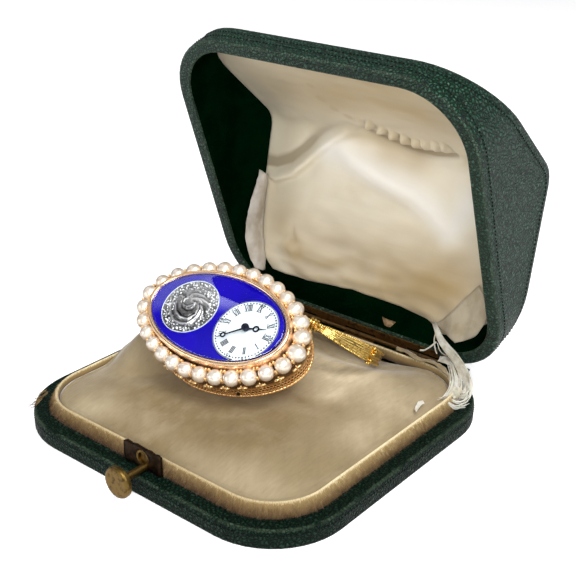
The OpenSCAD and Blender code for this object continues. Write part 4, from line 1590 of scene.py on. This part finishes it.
# %% [markdown]
# ## Catch plate
#
# The catch is a thin bronze plate with a bent, uneven top edge and an eye for the lid's hook. Rings
# that run from the eye's circle to the plate's outline give both edges one even skin.

# %% Catch plate
EYE = (1.2, 5.1, 1.3)
top = [
    (-2.9, 6.45), (-2.3, 6.75), (-1.2, 6.62), (-0.3, 6.8), (0.8, 6.7), (1.8, 6.62), (2.7, 6.72), (3.6, 6.5),
    (4.3, 6.68), (4.85, 6.4)
]
outline = [(-2.9, 3.22), *top, (4.9, 3.22)]


def reach(angle):
    """The outline's point in a direction from the eye."""
    d = Vector((math.cos(angle), math.sin(angle)))
    best = None
    for p, q in zip(outline, outline[1:] + outline[:1]):
        p, q = Vector(p) - Vector(EYE[:2]), Vector(q) - Vector(EYE[:2])
        e = q - p
        cross = d.x * e.y - d.y * e.x
        if abs(cross) < 1e-9:
            continue
        s = (p.x * e.y - p.y * e.x) / cross
        f = (p.x * d.y - p.y * d.x) / cross
        if s > 0 and -1e-6 <= f <= 1 + 1e-6 and (best is None or s < best):
            best = s
    return Vector(EYE[:2]) + d * best


angles = sorted(
    {TURN * k / 96 for k in range(96)} | {math.atan2(y - EYE[1], x - EYE[0]) % (TURN) for x, y in outline}
)
rim_in = [(EYE[0] + EYE[2] * math.cos(a), EYE[1] + EYE[2] * math.sin(a)) for a in angles]
rim_out = [reach(a) for a in angles]
mid = [((a[0] + b[0] * 4) / 5, (a[1] + b[1] * 4) / 5) for a, b in zip(rim_in, rim_out)]
front, rear = -26.9, -26.35
rings = [
    [(x, rear, z) for x, z in rim_in], [(x, front + 0.06, z) for x, z in rim_in],
    [(x + (x - EYE[0]) * 0.05, front, z + (z - EYE[1]) * 0.05) for x, z in rim_in],
    [(x, front, z) for x, z in mid], [(x, front + 0.1, z) for x, z in rim_out],
    [(x, rear, z) for x, z in rim_out]
]
plate = loft("catch_plate_bent", rings, closed=True)
dress(plate, BRONZE, "bronze", "root", ["catch_plate"])

# %% [markdown]
# ## Gold case
#
# The case is raised from sheet: a plain foot, a concave band and the tray that the pearls stand in.
# Its profile was read off the photo. Two numbers on its points tell the gold where the punched band is and
# where the wall under the pearls is painted darker as shade; a small hole in its side is a short dark bronze
# plug, painted shade.

# %% Gold case
profile = [
    (-2.2, -5.28), (-0.9, -5.26), (-0.3, -5.2), (-0.06, -5.1), (0.02, -4.97), (0.02, -4.88), (-0.05, -4.8),
    (-0.14, -4.72), (-0.16, -4.3), (-0.15, -3.8), (-0.12, -3.3), (-0.08, -2.8), (-0.02, -2.3), (0.04, -1.9),
    (0.1, -1.4), (0.18, -0.95), (0.24, -0.72), (0.2, -0.56), (0.08, -0.5)
]
rings = [border_ring(g, z) for g, z in profile]
last = rings[-1]
well = oval(12.6, 7.0, -0.5, 240)
for f in (0.25, 0.5, 0.75, 1.0):
    rings.append([(p[0] + (q[0] - p[0]) * f, p[1] + (q[1] - p[1]) * f, -0.5) for p, q in zip(last, well)])
case = loft("case_gold", rings, place=WATCH)
local = points_in(WATCH, case)
mark(case, "band", np.clip((local[:, 2] + 4.76) * 12, 0, 1) * np.clip((-2.8 - local[:, 2]) * 4, 0, 1))
# Painted shade under the pearls.
mark(case, "recess_shade", np.clip((local[:, 2] + 3.0) * 2.5, 0, 1) * 0.9)
dress(case, CASE_GOLD, "rose_gold", "root", ["watch_case"])
at, out = border_point(EDGE_A, EDGE_B, math.radians(302)), Vector((0.35, -0.94, 0.0)).normalized()
# Painted shade: a short dark bronze plug stands for the inside of the hole.
hole_shade = tube(
    "case_side_hole",
    [[(at[0] - out.x * 0.5, at[1] - out.y * 0.5, -4.3), (at[0] + out.x * 0.03, at[1] + out.y * 0.03, -4.3)]],
    [0.3], 20, WATCH
)
dress(hole_shade, BRONZE, "rose_gold", "root")

# %% [markdown]
# ### Along the pearl line
#
# Pearls, claws and leaves all sit at even steps along one boat-shaped line. Equal angles would
# crowd them at the sides, so the line's length is measured first and then shared out.

# %% Along the pearl line
line = [border_point(PEARL_A, PEARL_B, TURN * k / 1440) for k in range(1441)]
run = np.concatenate([[0], np.cumsum([math.dist(p, q) for p, q in zip(line, line[1:])])])


def border_at(k):
    """Point and outward direction of the pearl line at pearl k, which may be a fraction."""
    s = (k / PEARL_N % 1) * run[-1]
    at = np.array([np.interp(s, run, [p[i] for p in line]) for i in (0, 1)])
    ahead = np.array([np.interp((s + 0.2) % run[-1], run, [p[i] for p in line]) for i in (0, 1)])
    d = ahead - at
    d /= np.linalg.norm(d)
    return at, np.array([d[1], -d[0]])


def blob(points, faces, centre, axes, lengths, rings=6, sides=8):
    """Adds a small smooth ellipsoid."""
    base = len(points)
    for r in range(1, rings):
        a = math.pi * r / rings
        for k in range(sides):
            b = TURN * k / sides
            local = (math.sin(a) * math.cos(b), math.sin(a) * math.sin(b), math.cos(a))
            points.append(
                Vector(centre) + sum(
                    (Vector(ax) * l * c for ax, l, c in zip(axes, lengths, local)), Vector((0, 0, 0))
                )
            )
    top_i = len(points)
    points.append(Vector(centre) + Vector(axes[2]) * lengths[2])
    points.append(Vector(centre) - Vector(axes[2]) * lengths[2])
    for r in range(rings - 2):
        for k in range(sides):
            j = (k + 1) % sides
            faces.append(
                (
                    base + r * sides + k, base + (r + 1) * sides + k, base + (r + 1) * sides + j,
                    base + r * sides + j
                )
            )
    for k in range(sides):
        j = (k + 1) % sides
        faces.append((top_i, base + k, base + j))
        faces.append((top_i + 1, base + (rings - 2) * sides + j, base + (rings - 2) * sides + k))

# %% [markdown]
# ### Claws and chased leaves
#
# Outside, a small leaf of four strokes fills the corner between two pearls, and a claw stands over
# it; inside there is a pair of beads. All are smooth blobs in one mesh, which look like the worn
# chasing.

# %% Claws and chased leaves
points, faces = [], []
for k in range(PEARL_N):
    at, out = border_at(k + 0.5)
    side = np.array([-out[1], out[0]])
    o = Vector((out[0], out[1], 0))
    along = Vector((side[0], side[1], 0))
    down = Vector((-0.12 * out[0], -0.12 * out[1], -1)).normalized()
    for lean, length, drop in ((-1.35, 0.52, 0.85), (0.0, 0.75, 1.35), (1.35, 0.52, 0.85), (3.14, 0.5, 0.3)):
        d = down * math.cos(lean) + along * math.sin(lean)
        n = d.cross(o).normalized()
        c = Vector((at[0], at[1], 0)) + o * 0.98 + Vector((0, 0, -1.25)) + d * drop * 0.5
        blob(points, faces, c, (d, n, d.cross(n)), (length, 0.17, 0.26))
    blob(points, faces, (*(at + out * 0.60), -0.02), ((1, 0, 0), (0, 1, 0), (0, 0, 1)), (0.26, 0.26, 0.5))
    for swing in (-0.28, 0.28):
        c = at - out * 0.82 + side * swing
        blob(points, faces, (c[0], c[1], 0.35), ((1, 0, 0), (0, 1, 0), (0, 0, 1)), (0.3, 0.3, 0.7))
claws = finish_mesh("case_claws", points, faces, place=WATCH)
dress(claws, CHASED_GOLD, "rose_gold", "root")

# %% [markdown]
# ## Bezel and glass
#
# The bezel is a plain bright rim, with the blue plate's edge turned up inside it. The glass is a
# low polished dome with an inner and an outer face, so that it bends and mirrors light as glass
# does.

# %% Bezel and glass
profile = [
    (-0.38, -0.5), (-0.38, 1.0), (-0.38, 1.62), (-0.30, 1.76), (-0.12, 1.85), (0.10, 1.84), (0.30, 1.74),
    (0.44, 1.5), (0.48, 1.1), (0.48, -0.5)
]
rings = [border_ring(g, z, 240, 13.5, 7.85, 2.0) for g, z in profile]
bezel = loft("bezel_rim", rings, closed=True, place=WATCH)
dress(bezel, ROSE_GOLD, "rose_gold", "root", ["bezel"])


dress(
    loft(
        "enamel_edge",
        [
            border_ring(g, z, 240, 13.5, 7.85, 2.0)
            for g, z in ((-0.55, 1.1), (-0.41, 1.66), (-0.385, 1.7), (-0.385, 1.1))
        ],
        closed=True, place=WATCH
    ),
    BLUE, "blue_enamel", "root"
)


def dome(low, rise, s, shrink):
    return oval(s * (ENAMEL_A - shrink), s * (ENAMEL_B - shrink), low + rise * (1 - s * s))


shares = [0.01] + [k / 24 for k in range(1, 25)]
rings = [dome(1.5, 1.2, s, 0.02) for s in shares] + [dome(1.74, 1.24, s, 0.01) for s in reversed(shares)]
crystal = loft("crystal_dome", rings, place=WATCH)
dress(crystal, GLASS, "crystal_glass", "root", ["crystal"])

# %% [markdown]
# ### Pearls
#
# Pearls of that time were river or sea pearls matched by eye. Each is a little out of round, with
# its own noise; the one at the dial's tip is a long one.

# %% Pearls
for k in range(PEARL_N):
    at, out = border_at(k)
    points, faces = [], []
    side = np.array([-out[1], out[0]])
    grow_out, grow_side = (1.0 + rng.uniform(-0.05, 0.03) for _ in range(2))
    if k == 0:
        grow_out, grow_side = 1.24, 1.04
    elif k in (1, 2, 3):
        grow_out, grow_side = 1.14, 0.98
    axes = ((out[0], out[1], 0), (side[0], side[1], 0), (0, 0, 1))
    wide = PEARL_R * 1.04
    lengths = (wide * grow_out, wide * grow_side, PEARL_R * rng.uniform(0.97, 1.04))
    blob(points, faces, (at[0], at[1], 0.0), axes, lengths, 24, 36)
    seed = Vector((k * 7.3, k * 3.1, 0))
    points = [p + (p - Vector((at[0], at[1], 0))) * 0.03 * noise.noise(p * 0.6 + seed) for p in points]
    pearl = finish_mesh(f"pearl_{k + 1:02d}_round", points, faces, place=WATCH)
    dress(pearl, PEARL, "pearl", "root", [f"pearl_{k + 1:02d}"])
print("pearls made", PEARL_N)

# %% [markdown]
# ## Dial
#
# The dial is white enamel with black figures: Roman hours whose feet point to the middle. Its XII
# points along the face to the right-hand tip. A font has no such figures, so each is built from
# thick and thin strokes with a line at its foot and head, as a dial painter does.

# %% Dial figures
WINDOW_Y, WINDOW_R, DOTS_R, NUMBERS_R = -0.22, 5.54, 5.05, 4.98
FEET_R, FIGURE_TALL, SQUEEZE = 3.45, 1.15, 0.95
GLYPHS = {
    "I": ([((0.0, 0.0), (0.0, 1.0), 0.17)], 0.26),
    "V": ([((-0.25, 1.0), (0.0, 0.0), 0.17), ((0.25, 1.0), (0.0, 0.0), 0.07)], 0.62),
    "X": ([((-0.25, 1.0), (0.25, 0.0), 0.17), ((0.25, 1.0), (-0.25, 0.0), 0.07)], 0.62),
}
HOURS = ["XII", "I", "II", "III", "IIII", "V", "VI", "VII", "VIII", "IX", "X", "XI"]
strokes = []
for hour, text in enumerate(HOURS):
    turn = -math.radians(30 * hour)
    out = Vector((math.cos(turn), math.sin(turn)))
    right = Vector((out.y, -out.x))
    width = sum(GLYPHS[c][1] for c in text) * SQUEEZE
    x = -width / 2

    def spot(gx, gy):
        p = out * (FEET_R + FIGURE_TALL * gy) + right * gx
        return (DIAL_X + p.x, p.y)

    for c in text:
        marks, advance = GLYPHS[c]
        middle = x + advance * SQUEEZE / 2
        for p, q, wide in marks:
            foot, head = (spot(middle + gx * SQUEEZE, gy) for gx, gy in (p, q))
            strokes.append((foot, head, wide * 0.82 + 0.02))
        x += advance * SQUEEZE
    for gy in (0.0, 1.0):
        strokes.append((spot(-width / 2, gy), spot(width / 2, gy), 0.07))
figures = bars("dial_figures", strokes, DIAL_TOP - 0.02, DIAL_TOP + 0.03, WATCH)
dress(figures, INK, "white_enamel", "root")

# %% [markdown]
# ### Minute dots and the dial's edge
#
# A ring of sixty dots and a thin dark line close the dial. The blue plate's lip laps over the back
# edge, so the white disc shows a little off the middle of its window.

# %% Minute dots and the dial's edge
circle = oval(DOTS_R, DOTS_R, DIAL_TOP, 240, DIAL_X, WINDOW_Y)
dots = beads(
    "dial_minutes", [circle + circle[:1]], INK, DOTS_R * TURN / 60, (0.14, 0.14, 0.14), WATCH, detail=6,
    uneven=0.15
)
dress(dots, INK, "white_enamel", "root")


def dial_ring(r, z, y=0.0):
    return oval(r, r, z, x=DIAL_X, y=y)


def window_ring(r, z):
    return dial_ring(r, z, WINDOW_Y)


edge = loft(
    "dial_edge_line",
    [window_ring(r, DIAL_TOP + z) for r, z in ((5.38, -0.05), (5.38, 0.03), (5.49, 0.03), (5.49, -0.05))],
    closed=True, place=WATCH
)
dress(edge, INK, "white_enamel", "root")
rings = [window_ring(WINDOW_R + r, DIAL_TOP + z) for r, z in ((0.0, -0.1), (0.0, 0.03), (0.05, 0.05))]
rings += [dial_ring(DIAL_R + r, DIAL_TOP + z) for r, z in ((0.1, 0.03), (0.14, -0.1))]
dress(loft("enamel_lap", rings, closed=True, place=WATCH), BLUE, "blue_enamel", "root")

# %% [markdown]
# ### Dial numbers
#
# Four small numbers stand outside the hours. They are text turned to mesh, because at this size a
# plain font looks like the painted ones.

# %% Dial numbers
for text, hour in (("60", 0), ("15", 3), ("30", 6), ("45", 9)):
    curve = bpy.data.curves.new(f"dial_{text}", "FONT")
    curve.body, curve.size, curve.extrude = text, 0.95 * MM, 0.01 * MM
    curve.align_x = curve.align_y = "CENTER"
    flat = link(f"dial_{text}", curve)
    mesh = settled_mesh(flat)
    turn = -math.radians(30 * hour)
    on_dial = (DIAL_X + NUMBERS_R * math.cos(turn), WINDOW_Y + NUMBERS_R * math.sin(turn), DIAL_TOP + 0.012)
    spot = Matrix.Translation(on_dial) @ Matrix.Rotation(turn - math.pi / 2, 4, "Z")
    mesh.transform(Matrix.Scale(MM, 4) @ WATCH @ spot @ Matrix.Scale(1 / MM, 4))
    bpy.data.objects.remove(flat)
    dress(link(f"dial_number_{text}", mesh), INK, "white_enamel", "root")

# %% [markdown]
# ## Roundel
#
# The roundel is a silver plate with small stones set all over its border and a rose in its middle.
# A thin pale line rims it, like the edge of the window in the enamel.

# %% Roundel plate
def roundel_ring(r, z):
    return oval(r, r, z, 128, ROUNDEL_X)


profile = [(5.02, 0.25), (5.02, 1.2), (4.95, 1.22), (4.8, 1.12), (3.4, 1.12), (0.05, 1.2)]
plate = loft("roundel_plate", [roundel_ring(r, z) for r, z in profile], place=WATCH)
dress(plate, SILVER, "silver", "root", ["roundel"])
profile = [(4.9, 1.15), (4.92, 1.26), (5.02, 1.27), (5.06, 1.15)]
dress(
    loft("roundel_rim", [roundel_ring(r, z) for r, z in profile], closed=True, place=WATCH), WHITE,
    "white_enamel", "root"
)

# %% [markdown]
# ### Rose
#
# The rose has overlapping petals that spiral round its middle. They are a height field: each
# petal's line is a cut with a raised lip beside it. Two painted numbers darken the cuts and
# brighten the lips, because at this size the light alone wouldn't.

# %% Rose
PETALS = [
    (
        [
            (-3.4, 1.0), (-3.35, -0.2), (-2.85, -1.36), (-1.8, -2.5), (-0.63, -3.05), (0.4, -3.1),
            (1.45, -2.8), (2.0, -2.0), (2.2, -1.1), (2.05, 0.0), (1.37, 1.0)
        ],
        0.36
    ),
    ([(-0.48, 1.58), (0.53, 1.86), (1.58, 2.08), (2.8, 1.87)], 0.5),
    ([(-1.35, 1.59), (-1.22, 2.23), (-0.35, 2.69), (0.98, 2.86), (2.5, 2.33)], 0.22),
    (
        [
            (0.07, 1.02), (0.97, 0.97), (1.17, 0.23), (0.93, -0.58), (0.06, -1.04), (-0.94, -0.84),
            (-1.69, -0.19), (-1.93, 0.61), (-1.61, 1.14)
        ],
        0.24
    ),
    ([(-1.43, -0.04), (-0.38, -0.15), (0.35, 0.49)], 0.14),
    ([(-0.38, -0.62), (0.3, -0.54), (0.73, 0.0)], 0.10),
    ([(1.37, 1.01), (2.5, 0.78), (3.3, -0.02), (3.4, -1.0)], 0.30),
    ([(-2.44, -0.49), (-1.51, -1.54), (-0.23, -2.09), (1.02, -1.96), (1.73, -0.97)], 0.18),
    ([(-3.4, 0.96), (-2.85, 1.47), (-1.61, 1.14)], 0.22)
]


def rose_height(x, y):
    r = math.hypot(x, y)
    h = 0.42 * max(0.0, 1 - (r / 3.75) ** 2) ** 0.7
    for petal, deep in PETALS:
        d, f, side = line_distance(x, y, petal)
        fade = math.sin(math.pi * (0.12 + 0.76 * f))
        h += deep * fade * (
            0.9 * math.exp(-((d * side + 0.30) / 0.20) ** 2) - 1.1 * math.exp(-(d / 0.15) ** 2)
        )
    return h


ROSE_RINGS, ROSE_TURNS, ROSE_R, ROSE_Z = 48, 180, 3.7, 1.12
points = [(ROUNDEL_X, 0, ROSE_Z + rose_height(0, 0))]
for i in range(1, ROSE_RINGS + 1):
    for k in range(ROSE_TURNS):
        r, a = ROSE_R * i / ROSE_RINGS, TURN * k / ROSE_TURNS
        x, y = r * math.cos(a), r * math.sin(a)
        rise = max(rose_height(x, y), -0.02) if i < ROSE_RINGS else 0.0
        points.append((ROUNDEL_X + x, y, ROSE_Z + rise))
faces = [(0, 1 + k, 1 + (k + 1) % ROSE_TURNS) for k in range(ROSE_TURNS)]
for i in range(ROSE_RINGS - 1):
    for k in range(ROSE_TURNS):
        a, b = 1 + i * ROSE_TURNS, 1 + (i + 1) * ROSE_TURNS
        faces.append((a + k, b + k, b + (k + 1) % ROSE_TURNS, a + (k + 1) % ROSE_TURNS))
base = len(points)
points += [(p[0], p[1], 1.05) for p in points[1 + (ROSE_RINGS - 1) * ROSE_TURNS:1 + ROSE_RINGS * ROSE_TURNS]]
for k in range(ROSE_TURNS):
    a = 1 + (ROSE_RINGS - 1) * ROSE_TURNS
    faces.append((a + k, base + k, base + (k + 1) % ROSE_TURNS, a + (k + 1) % ROSE_TURNS))
faces.append(tuple(base + k for k in range(ROSE_TURNS - 1, -1, -1)))
cut = np.array([min(line_distance(p[0] - ROUNDEL_X, p[1], petal)[0] for petal, _ in PETALS) for p in points])
rose = finish_mesh("roundel_rose_petals", points, faces, place=WATCH)
mark(rose, "cut", np.exp(-(cut / 0.19) ** 2))


def lip_share(x, y):
    """How near a point lies to the raised lip of a petal."""
    found = (line_distance(x, y, petal) for petal, _ in PETALS)
    return max(math.exp(-((d * side + 0.34) / 0.16) ** 2) for d, f, side in found)


mark(rose, "lip", np.array([lip_share(p[0] - ROUNDEL_X, p[1]) for p in points]))
ROSE_SILVER, t, s = metal("rose silver", (0.36, 0.355, 0.34), (0.13, 0.13, 0.13), 0.28, 0.5, 0.06)
crevice = painted(t, "cut")
old = s.inputs["Base Color"].links[0].from_socket
lip = painted(t, "lip")
paint(s, mix(t, crevice, mix(t, lip, old, (0.80, 0.79, 0.76)), (0.006, 0.006, 0.006)))
dress(rose, ROSE_SILVER, "silver", "root", ["roundel_rose"])

# %% [markdown]
# ### Stones
#
# The stones are scattered with a least distance, as a setter fills a border with stones of mixed
# size. Each is a coarse ball turned at random, so its flats catch the light as a rose cut does.

# %% Stones
PAVE, given, g_out = geometry_group(
    "paved stones",
    [
        ("Distance", NUMBER, 0.0004), ("Size", NUMBER, 0.0002), ("Seed", WHOLE, 3),
        ("Material", "NodeSocketMaterial", None)
    ]
)
spread = node(
    PAVE, "GeometryNodeDistributePointsOnFaces",
    {
        "Mesh": given["Geometry"], "Distance Min": given["Distance"], "Density Max": 3.0e7,
        "Density Factor": 1.0, "Seed": given["Seed"]
    },
    distribute_method="POISSON"
)
gem = node(PAVE, "GeometryNodeMeshIcoSphere", {"Radius": 1.0, "Subdivisions": 2})
chance = node(PAVE, "FunctionNodeRandomValue", {"Seed": given["Seed"]}, data_type="FLOAT")
chance.inputs[2].default_value, chance.inputs[3].default_value = 0.75, 1.1
turn_by = node(PAVE, "FunctionNodeRandomValue", {"Seed": given["Seed"]}, data_type="FLOAT_VECTOR")
turn_by.inputs[0].default_value, turn_by.inputs[1].default_value = (0, 0, 0), (6.28, 6.28, 6.28)
radius = times(PAVE, chance.outputs[1], given["Size"])
dressed = set_on(
    PAVE, given, spread.outputs["Points"], gem.outputs["Mesh"], Rotation=turn_by.outputs[0], Scale=radius
)
PAVE.links.new(dressed, g_out.inputs["Geometry"])
field_points, field_faces = [], []
for k in range(96):
    a = TURN * k / 96
    for r in (3.25 + 0.25 * math.sin(3 * a), 4.72):
        field_points.append((ROUNDEL_X + r * math.cos(a), r * math.sin(a), 1.16))
for k in range(96):
    j = (k + 1) % 96
    field_faces.append((2 * k, 2 * k + 1, 2 * j + 1, 2 * j))
stones = finish_mesh("roundel_pave", field_points, field_faces, place=WATCH)
grow(stones, PAVE, Distance=0.44 * MM, Size=0.20 * MM, Seed=5, Material=STONE)
print("stones:", len(stones.data.polygons) // 80)
dress(stones, STONE, "stones", "root", ["roundel_stones"])

# %% [markdown]
# ## Hoop
#
# The hoop is a gold band with fine grooves along it and a row of beads at each edge. Its section is
# turned round, and its width changes on the way. Only its upper front shows over the pad.

# %% Hoop band
def hoop_width(degrees):
    """Half width of the band: it starts narrow at the ribbed collar and widens toward the pad."""
    a = (degrees + 180) % 360 - 180
    return float(np.interp(a, (-180, -66, -62, -34, -6, 30, 180), (0.5, 0.5, 0.7, 1.15, 1.35, 1.0, 0.5)))


section = [
    (9.4, -0.85), (9.4, 0.85), (9.7, 1.0), (10.3, 1.0), (10.46, 0.8), (10.48, 0.68), (10.26, 0.55),
    (10.48, 0.42), (10.52, 0.30), (10.30, 0.2), (10.52, 0.1), (10.54, 0.0)
]
section += [(r, -w) for r, w in reversed(section[2:-1])]
steps = 256


def hoop_points(r, w):
    return [
        (r * math.cos(TURN * k / steps), r * math.sin(TURN * k / steps), w * hoop_width(360 * k / steps))
        for k in range(steps)
    ]


hoop = loft("hoop_band", [hoop_points(r, w) for r, w in section], closed=True, place=HOOP)
dress(hoop, YELLOW_GOLD, "yellow_gold", "root", ["shank"])
lines = [hoop_points(10.42, w) for w in (-0.92, 0.92)]
dress(
    beads(
        "hoop_milling", [line + line[:1] for line in lines], YELLOW_GOLD, 0.36, (0.24, 0.17, 0.17), HOOP,
        detail=8, uneven=0.2
    ),
    YELLOW_GOLD, "yellow_gold", "root"
)

# %% [markdown]
# ### Hoop collar, hook and neck
#
# Three ribs, a small hook and a few grains of wear sit on the hoop, and a short neck joins it to
# the case. They are tubes along short lines in the hoop's own measure.

# %% Hoop collar, hook and neck
def on_hoop(degrees, w, r=10.5):
    return HOOP @ Vector((r * math.cos(math.radians(degrees)), r * math.sin(math.radians(degrees)), w))


paths, radii = [], []
for a in (-78, -75, -72):
    paths.append(
        [
            on_hoop(a + 0.01 * k, 0.75 * math.cos(math.pi * k / 12), 10.2 + 0.75 * math.sin(math.pi * k / 12))
            for k in range(13)
        ]
    )
    radii.append(0.3)
paths.append(
    smooth_path(
        [on_hoop(-71, 0.2, 10.7), on_hoop(-69, 0.2, 11.3), on_hoop(-66, 0.2, 11.4), on_hoop(-64.5, 0.2, 10.9)]
    )
)
radii.append(0.2)
for a, w in ((-8, -1.45), (-6.5, -0.9), (-9.5, 1.2), (-7, 0.2), (-5.5, 0.8), (-11, -1.5)):
    paths.append([on_hoop(a - 0.8, w, 10.5), on_hoop(a, w, 10.75), on_hoop(a + 0.8, w, 10.5)])
    radii.append(0.3)
dress(tube("hoop_collar_and_hook", paths, radii, 10), YELLOW_GOLD, "yellow_gold", "root")
neck = loft(
    "hoop_neck",
    [
        oval(0.8 * f, 0.8 * f, z, 32, 6, 8.15)
        for f, z in ((0.9, -6.5), (1.0, -6.3), (1.0, -5.9), (0.85, -5.7), (1.05, -5.4), (1.0, -5.15))
    ],
    place=WATCH
)
dress(neck, YELLOW_GOLD, "yellow_gold", "root")

# %% [markdown]
# ## CAD pieces that are shown as they are
#
# The hinge, button, eye, hands and enamel plates are plain and exact already. They only get a
# finish.

# %% CAD pieces
shown = {
    "button": BRASS, "catch_eye": BRASS, "hinge_base": HINGE_BRASS, "hinge_lid": HINGE_BRASS,
    "enamel_panel": BLUE, "dial": WHITE, "hour_hand": STEEL, "minute_hand": STEEL, "hub": STEEL
}
for name, made in shown.items():
    piece = frame["nodes"][name]
    piece.data.materials.clear()
    piece.data.materials.append(made)

# %% [markdown]
# ## Floor, light and camera
#
# The photo was taken on white paper in soft light from above and behind the left shoulder. The
# floor glows a little to the camera alone, so it stays white as in the photo. The room is dim and
# grey, and dark where the camera stands, because the watch mirrors it.

# %% Floor and dim room
SIGHT = (-0.5763, 0.7066, -0.4106)
floor_mesh = bpy.data.meshes.new("floor")
floor_mesh.from_pydata([(-3, -3, 0), (3, -3, 0), (3, 3, 0), (-3, 3, 0)], [], [(0, 1, 2, 3)])
floor = link("floor", floor_mesh)
PAPER, t, s = material("white paper", (0.93, 0.93, 0.93), 0.9)
s.inputs["Emission Color"].default_value = (1, 1, 1, 1)
seen = node(t, "ShaderNodeLightPath").outputs["Is Camera Ray"]
feed(s, "Emission Strength", times(t, seen, 0.5))
floor_mesh.materials.append(PAPER)

world = bpy.data.worlds.new("dim room")
bpy.context.scene.world = world
world.use_nodes = True
t = world.node_tree
background = t.nodes["Background"]
outward = node(t, "ShaderNodeTexCoord").outputs["Generated"]


def facing(direction):
    """How far a point of the room lies toward a direction."""
    turned = node(t, "ShaderNodeVectorMath", {0: outward, 1: direction}, operation="DOT_PRODUCT")
    return turned.outputs["Value"]


up = part_of(t, outward, "Z")
front = ranged(t, facing((0.75, -0.55, 0.1)), -0.25, 0.6, smooth=True)
low = ramp(
    t, up,
    [
        (0.0, (0.55, 0.55, 0.56)), (0.10, (0.10, 0.10, 0.11)), (0.35, (0.06, 0.06, 0.07)),
        (1.0, (0.05, 0.05, 0.06))
    ]
)
high = ramp(
    t, up,
    [
        (0.0, (0.40, 0.40, 0.42)), (0.12, (0.10, 0.10, 0.11)), (0.35, (0.34, 0.34, 0.36)),
        (1.0, (0.45, 0.45, 0.46))
    ]
)
sky = mix(t, front, low, high)
behind_camera = ranged(t, facing(tuple(-c for c in SIGHT)), 0.86, 0.95, smooth=True)
feed(background, "Color", mix(t, behind_camera, sky, (0.03, 0.03, 0.03)))
background.inputs["Strength"].default_value = 1.0

# %% [markdown]
# ### Lights
#
# Three soft boxes light the object. What the domed glass mirrors is a card on the ceiling, whose
# outline was worked back from the bright patch in the photo. It is a shining mesh, because an area
# light can't have an uneven outline.

# %% Lights
def soft_box(name, at, aim, size, watts):
    light = bpy.data.lights.new(name, "AREA")
    light.shape, light.size, light.size_y, light.energy = "RECTANGLE", size[0], size[1], watts
    obj = link(name, light)
    obj.location = at
    obj.rotation_euler = (Vector(aim) - Vector(at)).to_track_quat("-Z", "Y").to_euler()


def light_card(name, corners, height, strength):
    """A shining card on the ceiling; its outline is what the watch's glass mirrors."""
    mesh = bpy.data.meshes.new(name)
    mesh.from_pydata([(x * MM, y * MM, height * MM) for x, y in corners], [], [tuple(range(len(corners)))])
    made = bpy.data.materials.new(name)
    made.use_nodes = True
    t = made.node_tree
    at = object_place(t)
    x, y = part_of(t, at, "X"), part_of(t, at, "Y")
    across = ranged(t, x, -0.9, -0.2)
    level = ramp(
        t, across,
        [
            (0.0, (0.5, 0.5, 0.5)), (0.35, (0.5, 0.5, 0.5)), (0.46, (0.3, 0.3, 0.3)),
            (0.70, (0.34, 0.34, 0.34)), (0.88, (1.0, 1.0, 1.0))
        ]
    )
    low_side = plus(t, y, minus(t, -0.015, times(t, 0.41, x)))
    fade = node(
        t, "ShaderNodeMapRange", {"Value": low_side, "To Min": 0.05, "From Min": 0.0, "From Max": 0.10},
        interpolation_type="SMOOTHSTEP"
    ).outputs["Result"]
    glow = node(
        t, "ShaderNodeEmission", {"Color": mix(t, 1.0, level, fade, "MULTIPLY"), "Strength": 2 * strength}
    )
    t.links.new(glow.outputs[0], t.nodes["Material Output"].inputs["Surface"])
    mesh.materials.append(made)
    obj = link(name, mesh)


WINDOW = [
    (-373, 150), (-345, 116), (-302, 62), (-277, 30), (-240, 22), (-197, 14), (-190, -40), (-205, -90),
    (-250, -130), (-330, -170), (-450, -230), (-590, -290), (-900, -420), (-900, 320), (-385, 320)
]
light_card("left window", WINDOW, 400, 1.1)
for name, at, aim, size, watts in (
    ("top", (0.25, -0.06, 0.50), (0.0, 0.0, 0.02), (0.34, 0.34), 2.6),
    ("front", (0.30, -0.48, 0.32), (0, 0, 0.02), (0.34, 0.25), 2.2),
    ("low left", (-0.36, -0.46, 0.12), (0, 0.02, 0.03), (0.30, 0.18), 0.45),
):
    soft_box(name, at, aim, size, watts)

# %% [markdown]
# ### Camera
#
# The camera was solved from the box's straight edges and right angles.

# %% Camera
camera_data = bpy.data.cameras.new("photo")
camera_data.sensor_width, camera_data.lens, camera_data.clip_start = 36.0, 67.89, 0.01
camera = link("photo", camera_data)
look, right, upward = Vector(SIGHT), Vector((0.7716, 0.6359, 0.0112)), Vector((-0.2691, 0.3104, 0.9117))
camera.matrix_world = Matrix.Translation(
    Vector((103.04, -118.37, 93.73)) * MM
) @ Matrix((right, upward, -look)).transposed().to_4x4()
bpy.context.scene.camera = camera
bpy.context.scene.view_settings.view_transform = "Standard"

# %% [markdown]
# ## Finish
#
# The count of triangles is printed.

# %% Finish
triangles = sum(
    sum(len(p.vertices) - 2 for p in o.data.polygons)
    for o in bpy.context.scene.objects if o.type == "MESH" and not o.hide_render
)
print("triangles shown:", triangles)
